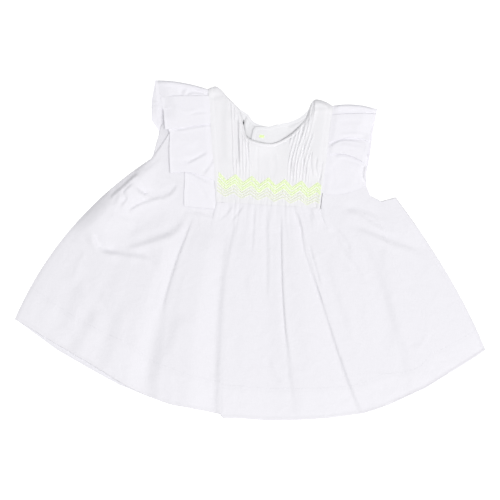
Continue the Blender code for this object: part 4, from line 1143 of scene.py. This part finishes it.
def sewn_down(middle, fold):
    """Presses the layers of a ruffle together, most at the yoke's seam, and lets its outer edge droop.

    Behind the shoulder the cloth puffs up in a soft roll.
    """
    width = np.linalg.norm(middle[:, :, :2] - middle[:, :1, :2], axis=2)
    inset = width[:, -1:] - width
    free = ease(width / SEAM_REACH)
    droop = DROOP * within(inset, DROOP_REACH)
    low = mix(SEAM_LOW, RUFFLE_Z, free) - droop * ease((middle[:, :, 1] - DROOPS_ABOVE) / DROOP_RAMP)
    z = middle[:, :, 2]
    front = low + (z - RUFFLE_Z) * mix(SEAM_PRESSED, PRESSED, free)
    behind = BACK_RUFFLE_Z + (z - BACK_RUFFLE_Z) * (low - BACK_RUFFLE_Z) / (RUFFLE_Z - BACK_RUFFLE_Z)
    pressed = np.where(z > RUFFLE_Z, front, np.where(z > BACK_RUFFLE_Z, behind, z))

    away = np.linalg.norm(middle[:, :, :2] - middle[fold, :, :2], axis=2)
    roll = ROLL_HEIGHT * ease(away / ROLL_REACH[0]) * within(away - ROLL_REACH[0], ROLL_REACH[1])
    roll *= (np.arange(len(middle)) > fold)[:, None] * ease(inset / ROLL_FROM_EDGE) * free
    middle[:, :, 2] = pressed + roll * (z < ROLL_BELOW)


def cloth_normals(middle):
    """Directions out of a cloth that turns over: they follow it round its folds."""
    runs = np.diff(middle, axis=0)
    runs /= np.maximum(np.linalg.norm(runs, axis=2), 1e-9)[:, :, None]
    down = np.concatenate([runs[:1], runs[1:] + runs[:-1], runs[-1:]])
    normal = np.cross(down, np.gradient(middle, axis=1))
    return normal / np.linalg.norm(normal, axis=2)[:, :, None]


def measured(middle, axis):
    """How far each place is along the cloth, from its first row or column."""
    start = np.take(middle, [0], axis)
    return np.cumsum(np.linalg.norm(np.diff(middle, axis=axis, prepend=start), axis=2), axis=axis)


def make_ruffle(name, rows, seam, clear, material):
    """One strip of cloth, sewn to the yoke's side seam, pleated and hemmed."""
    middle, spans = ruffle_path(rows, seam, clear)
    sewn_down(middle, spans.index("shoulder fold"))
    normal = cloth_normals(middle)
    x, y = middle[:, :, 0], middle[:, :, 1]
    for _, parts, *crease in RUFFLE_CREASES:
        inside = np.array([span in parts for span in spans])
        middle[inside, :, 2] += creased(x[inside], y[inside], [crease])
    travelled, width = measured(middle, 0), measured(middle, 1)
    from_edge = width[:, -1:] - width
    pucker = SEAM_PUCKER * np.cos(2 * np.pi * travelled / SEAM_PUCKER_PITCH + unevenness(travelled / 9, 1.0))
    middle[:, :, 2] += pucker * within(width, SEAM_PUCKER_REACH) * ease(width / 2.0)
    hem = within(from_edge - RUFFLE_HEM, DOUBLED_FADE)
    thickness = mix(COTTON, COTTON + RUFFLE_HEM_HEIGHT, hem)[:, :, None]
    upper, lower = middle + normal * thickness / 2, middle - normal * thickness / 2
    if normal[len(normal) // 2, 0, 2] < 0:
        upper, lower = lower, upper
    piece = cloth_shell(name, upper, lower, np.dstack([width, travelled]), hem, material)
    return piece, middle, normal, from_edge


# ---------------------------------------------------------------- button and threads

def ring(centre_x, centre_y, radius, z, sides):
    """Points round a circle."""
    turns = [2 * math.pi * k / sides for k in range(sides)]
    return [(centre_x + radius * math.cos(turn), centre_y + radius * math.sin(turn), z) for turn in turns]


def ring_faces(start, sides):
    """The faces between a ring of points and the next ring."""
    pairs = [(start + k, start + (k + 1) % sides) for k in range(sides)]
    return [(a, b, b + sides, a + sides) for a, b in pairs]


def button_body(low, high, material):
    """A round button with a rim, turned from its half section."""
    section = (
        (3.0, low + 0.12), (4.6, low), (5.1, low + 0.1), (5.45, low + 0.45),
        (BUTTON_RADIUS, low + 0.9), (5.4, high - 0.3), (5.1, high - 0.05), (4.7, high),
        (4.3, high - 0.1), (3.9, high - 0.45), (3.2, high - 0.6),
    )
    points = [(BUTTON_X, BUTTON_Y, low + 0.15)]
    for radius, z in section:
        points += ring(BUTTON_X, BUTTON_Y, radius, z, BUTTON_SIDES)
    points.append((BUTTON_X, BUTTON_Y, high - 0.65))
    starts = [1 + k * BUTTON_SIDES for k in range(len(section))]
    faces = [face for start in starts[:-1] for face in ring_faces(start, BUTTON_SIDES)]
    for k in range(BUTTON_SIDES):
        after = (k + 1) % BUTTON_SIDES
        faces += [(0, 1 + after, 1 + k), (starts[-1] + k, starts[-1] + after, len(points) - 1)]
    return plain_mesh("button", placed(points), faces, material)


def button_drill(low, high, material):
    """Four round rods in the places of the button's holes."""
    points, faces = [], []
    for across_x in (-HOLE_PLACE, HOLE_PLACE):
        for across_y in (-HOLE_PLACE, HOLE_PLACE):
            start = len(points)
            for z in (low - 1.0, high + 1.0):
                points += ring(BUTTON_X + across_x, BUTTON_Y + across_y, HOLE_RADIUS, z, HOLE_SIDES)
            faces += ring_faces(start, HOLE_SIDES)
            faces.append(tuple(range(start + HOLE_SIDES - 1, start - 1, -1)))
            faces.append(tuple(range(start + HOLE_SIDES, start + 2 * HOLE_SIDES)))
    return plain_mesh("button drill", placed(points), faces, material)


def make_button(material):
    """The back neck button, with its four holes."""
    low, high = BUTTON_FLOOR, BUTTON_FLOOR + BUTTON_HEIGHT
    body, drill = button_body(low, high, material), button_drill(low, high, material)
    holes = body.modifiers.new("holes", "BOOLEAN")
    holes.operation, holes.solver, holes.object = "DIFFERENCE", "EXACT", drill
    ready = body.evaluated_get(bpy.context.evaluated_depsgraph_get())
    drilled = bpy.data.meshes.new_from_object(ready)
    body.modifiers.clear()
    body.data = drilled
    bpy.data.objects.remove(drill, do_unlink=True)
    body.data.set_sharp_from_angle(angle=math.radians(50))
    return body


def smocking_path(row, sheet):
    """One zigzag row across the reeds, on top of them."""
    y_left, y_right, rise, thickness, _ = row
    share = np.linspace(0.0, 1.0, SMOCKING_POINTS)
    x = mix(*SMOCKING_ENDS, share)
    turns = share * SMOCKING_WAVES + 0.02 * unevenness(share * 20, y_left)
    y = mix(y_left, y_right, share) + rise * (np.abs((turns % 1.0) * 2 - 1) * 2 - 1)
    z = lie_on(sheet, x, y)
    crest = np.array([z[max(0, k - 5):k + 6].max() for k in range(len(z))])
    return np.column_stack([x, y, mix(z, crest, SMOCKING_ON_CRESTS) + thickness * 0.2])


def make_smocking(tree, kind, sheet, colour):
    """The zigzag rows in one kind of thread."""
    rows = [row for row in SMOCKING if row[4] == kind]
    paths = [smocking_path(row, sheet) for row in rows]
    return sew("smocking_thread_" + kind, tree, paths, colour, thickness=rows[0][3], **SMOCKING_STITCH)


def make_button_tack(tree, sheet, colour):
    """The thread that holds the button shows as a few stitches side by side."""
    paths = []
    x = np.linspace(TACK_X - TACK_LENGTH / 2, TACK_X + TACK_LENGTH / 2, 12)
    for k in range(TACK_STITCHES):
        y = np.full(len(x), TACK_Y + (k - (TACK_STITCHES - 1) / 2) * TACK_SPACING)
        paths.append(np.column_stack([x, y, lie_on(sheet, x, y) + 0.25]))
    return sew("button_tack", tree, paths, colour, **TACK_STITCH)


def make_hem_stitches(tree, front, back, colour):
    """A line of sewing along the top of each skirt's hem."""
    down = np.linspace(0.0, 1.0, SKIRT_ROWS) ** SKIRT_ROW_POWER
    front_row = int(np.argmin(np.abs(down - HEM_STARTS))) + 1
    back_row = int(round(HEM_STARTS * (BACK_ROWS - 1))) + 1
    paths = [line + (0.0, 0.0, 0.06) for line in (front[front_row], back[back_row])]
    return sew("hem_stitches", tree, paths, colour, **HEM_STITCH)


def make_ruffle_stitches(tree, ruffles, colour):
    """A line of sewing along the inside of each ruffle's narrow hem."""
    paths = []
    for _, middle, normal, from_edge in ruffles:
        half_way = len(middle) // 2
        column = int(np.argmin(np.abs(from_edge[half_way] - RUFFLE_HEM - 0.2)))
        side = 1.0 if normal[half_way, 0, 2] > 0 else -1.0
        paths.append(middle[:, column] + normal[:, column] * side * (COTTON / 2 + 0.05))
    return sew("ruffle_stitches", tree, paths, colour, **RUFFLE_STITCH)


def make_neck_stitches(tree, front, colour):
    """A line of sewing beside the neck's binding."""
    neck = smooth_route(FRONT_NECK)
    line = neck[(neck[:, 0] > SHOULDERS[0]) & (neck[:, 0] < SHOULDERS[1] - 2)]
    heading = np.gradient(line, axis=0)
    heading /= np.linalg.norm(heading, axis=1)[:, None]
    line = line + np.column_stack([heading[:, 1], -heading[:, 0]]) * (BINDING_WIDTH + 0.7)
    z = lie_on(front, line[:, 0], line[:, 1]) + 0.08
    return sew("neck_stitches", tree, [np.column_stack([line, z])], colour, **NECK_STITCH)


# ---------------------------------------------------------------- room

def make_floor():
    """A plain white table, a little brighter where it is seen than where it lights the cloth."""
    material, tree, surface = new_material("white table", 0.9)
    speckled(tree, surface, {"Scale": 40.0, "Detail": 2.0}, TABLE_WHITE)
    surface.inputs["Specular IOR Level"].default_value = 0.1
    surface.inputs["Emission Color"].default_value = (1.0, 1.0, 1.0, 1.0)
    seen = node(tree, "ShaderNodeLightPath").outputs["Is Camera Ray"]
    tree.links.new(maths(tree, "MULTIPLY", seen, FLOOR_GLOW), surface.inputs["Emission Strength"])
    half = FLOOR_HALF
    corners = [(-half, -half, 0.0), (half, -half, 0.0), (half, half, 0.0), (-half, half, 0.0)]
    floor = plain_mesh("table_top", corners, [(0, 1, 2, 3)], material)


def make_light():
    """A large soft lamp, high over the dress's lower right, and an even light from all round."""
    world = bpy.data.worlds.new("soft room")
    bpy.context.scene.world = world
    world.use_nodes = True
    backdrop = world.node_tree.nodes["Background"]
    backdrop.inputs["Color"].default_value = DOME_COLOUR
    backdrop.inputs["Strength"].default_value = DOME_STRENGTH
    lamp = bpy.data.lights.new("key", "AREA")
    lamp.shape, lamp.size, lamp.energy, lamp.color = "DISK", KEY_SIZE, KEY_POWER, KEY_COLOUR
    key = bpy.data.objects.new("key", lamp)
    azimuth, elevation = math.radians(KEY_AZIMUTH), math.radians(KEY_ELEVATION)
    level = math.cos(elevation)
    towards = Vector((level * math.cos(azimuth), level * math.sin(azimuth), math.sin(elevation)))
    key.location = towards * KEY_DISTANCE
    key.rotation_mode = "QUATERNION"
    key.rotation_quaternion = towards.to_track_quat("Z", "Y")
    bpy.context.collection.objects.link(key)


def make_camera():
    """Straight above, turned a little against the dress."""
    lens = bpy.data.cameras.new("camera")
    lens.lens, lens.sensor_width = CAMERA_LENS, CAMERA_SENSOR
    camera = bpy.data.objects.new("camera", lens)
    camera.location = (*VIEW_CENTRE, CAMERA_HEIGHT)
    camera.rotation_euler = (0.0, 0.0, math.radians(GARMENT_TURN))
    bpy.context.collection.objects.link(camera)
    bpy.context.scene.camera = camera
    bpy.context.scene.view_settings.view_transform = "Standard"


# ---------------------------------------------------------------- the dress

def attach(piece, slot, *nodes):
    """Fixes a piece to the dress and hides the solids that it stands for. The slot is not used."""
    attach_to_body(piece, "root")
    if nodes:
        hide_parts(*nodes)


def main():
    make_light()
    make_camera()
    make_floor()
    weave = make_weave_group()
    cottons = {name: cotton(name, weave, *look) for name, look in COTTONS.items()}
    bright, pale, white = (thread(name, *look) for name, look in THREADS.items())
    stitches = make_stitch_tree()

    skirt_front, front_top = make_skirt_front(cottons["skirt cotton"])
    attach(skirt_front, "skirt_cotton", "skirt_front")
    skirt_back, back_top = make_skirt_back(cottons["skirt cotton, painted shade"])
    attach(skirt_back, "skirt_cotton", "skirt_back")
    yoke_front, yoke_top = make_yoke_front(cottons["yoke cotton"])
    attach(yoke_front, "yoke_cotton", "yoke_front")
    back_neck = smooth_route(BACK_NECK)
    outer, _ = make_yoke_back_outer(back_neck, cottons["yoke cotton, painted shade"])
    attach(outer, "yoke_cotton", "yoke_back_outer")
    inner, inner_top = make_yoke_back_inner(back_neck, cottons["yoke cotton, painted shade"])
    attach(inner, "yoke_cotton", "yoke_back_inner")
    ruffle_cotton = cottons["ruffle cotton"]
    left_seam, right_seam = (YOKE_LEFT_LOW, YOKE_LEFT_TOP), (YOKE_RIGHT_LOW, YOKE_RIGHT_TOP)
    left = make_ruffle("ruffle_left_cloth", RUFFLE_LEFT, left_seam, -SEAM_CLEAR, ruffle_cotton)
    right = make_ruffle("ruffle_right_cloth", RUFFLE_RIGHT, right_seam, SEAM_CLEAR, ruffle_cotton)
    attach(left[0], "ruffle_cotton", "ruffle_left")
    attach(right[0], "ruffle_cotton", "ruffle_right")
    button = make_button(pearl_shell("pearl shell"))
    attach(button, "button_shell", "button_back")

    smocking = [
        make_smocking(stitches, "bright", yoke_top, bright),
        make_smocking(stitches, "pale", yoke_top, pale),
    ]
    tack = make_button_tack(stitches, inner_top, bright)
    for piece in smocking + [tack]:
        attach(piece, "bright_thread")
    hem = make_hem_stitches(stitches, front_top, back_top, white)
    edges = make_ruffle_stitches(stitches, (left, right), white)
    neck = make_neck_stitches(stitches, yoke_top, white)
    for piece in (hem, edges, neck):
        attach(piece, "white_thread")


main()
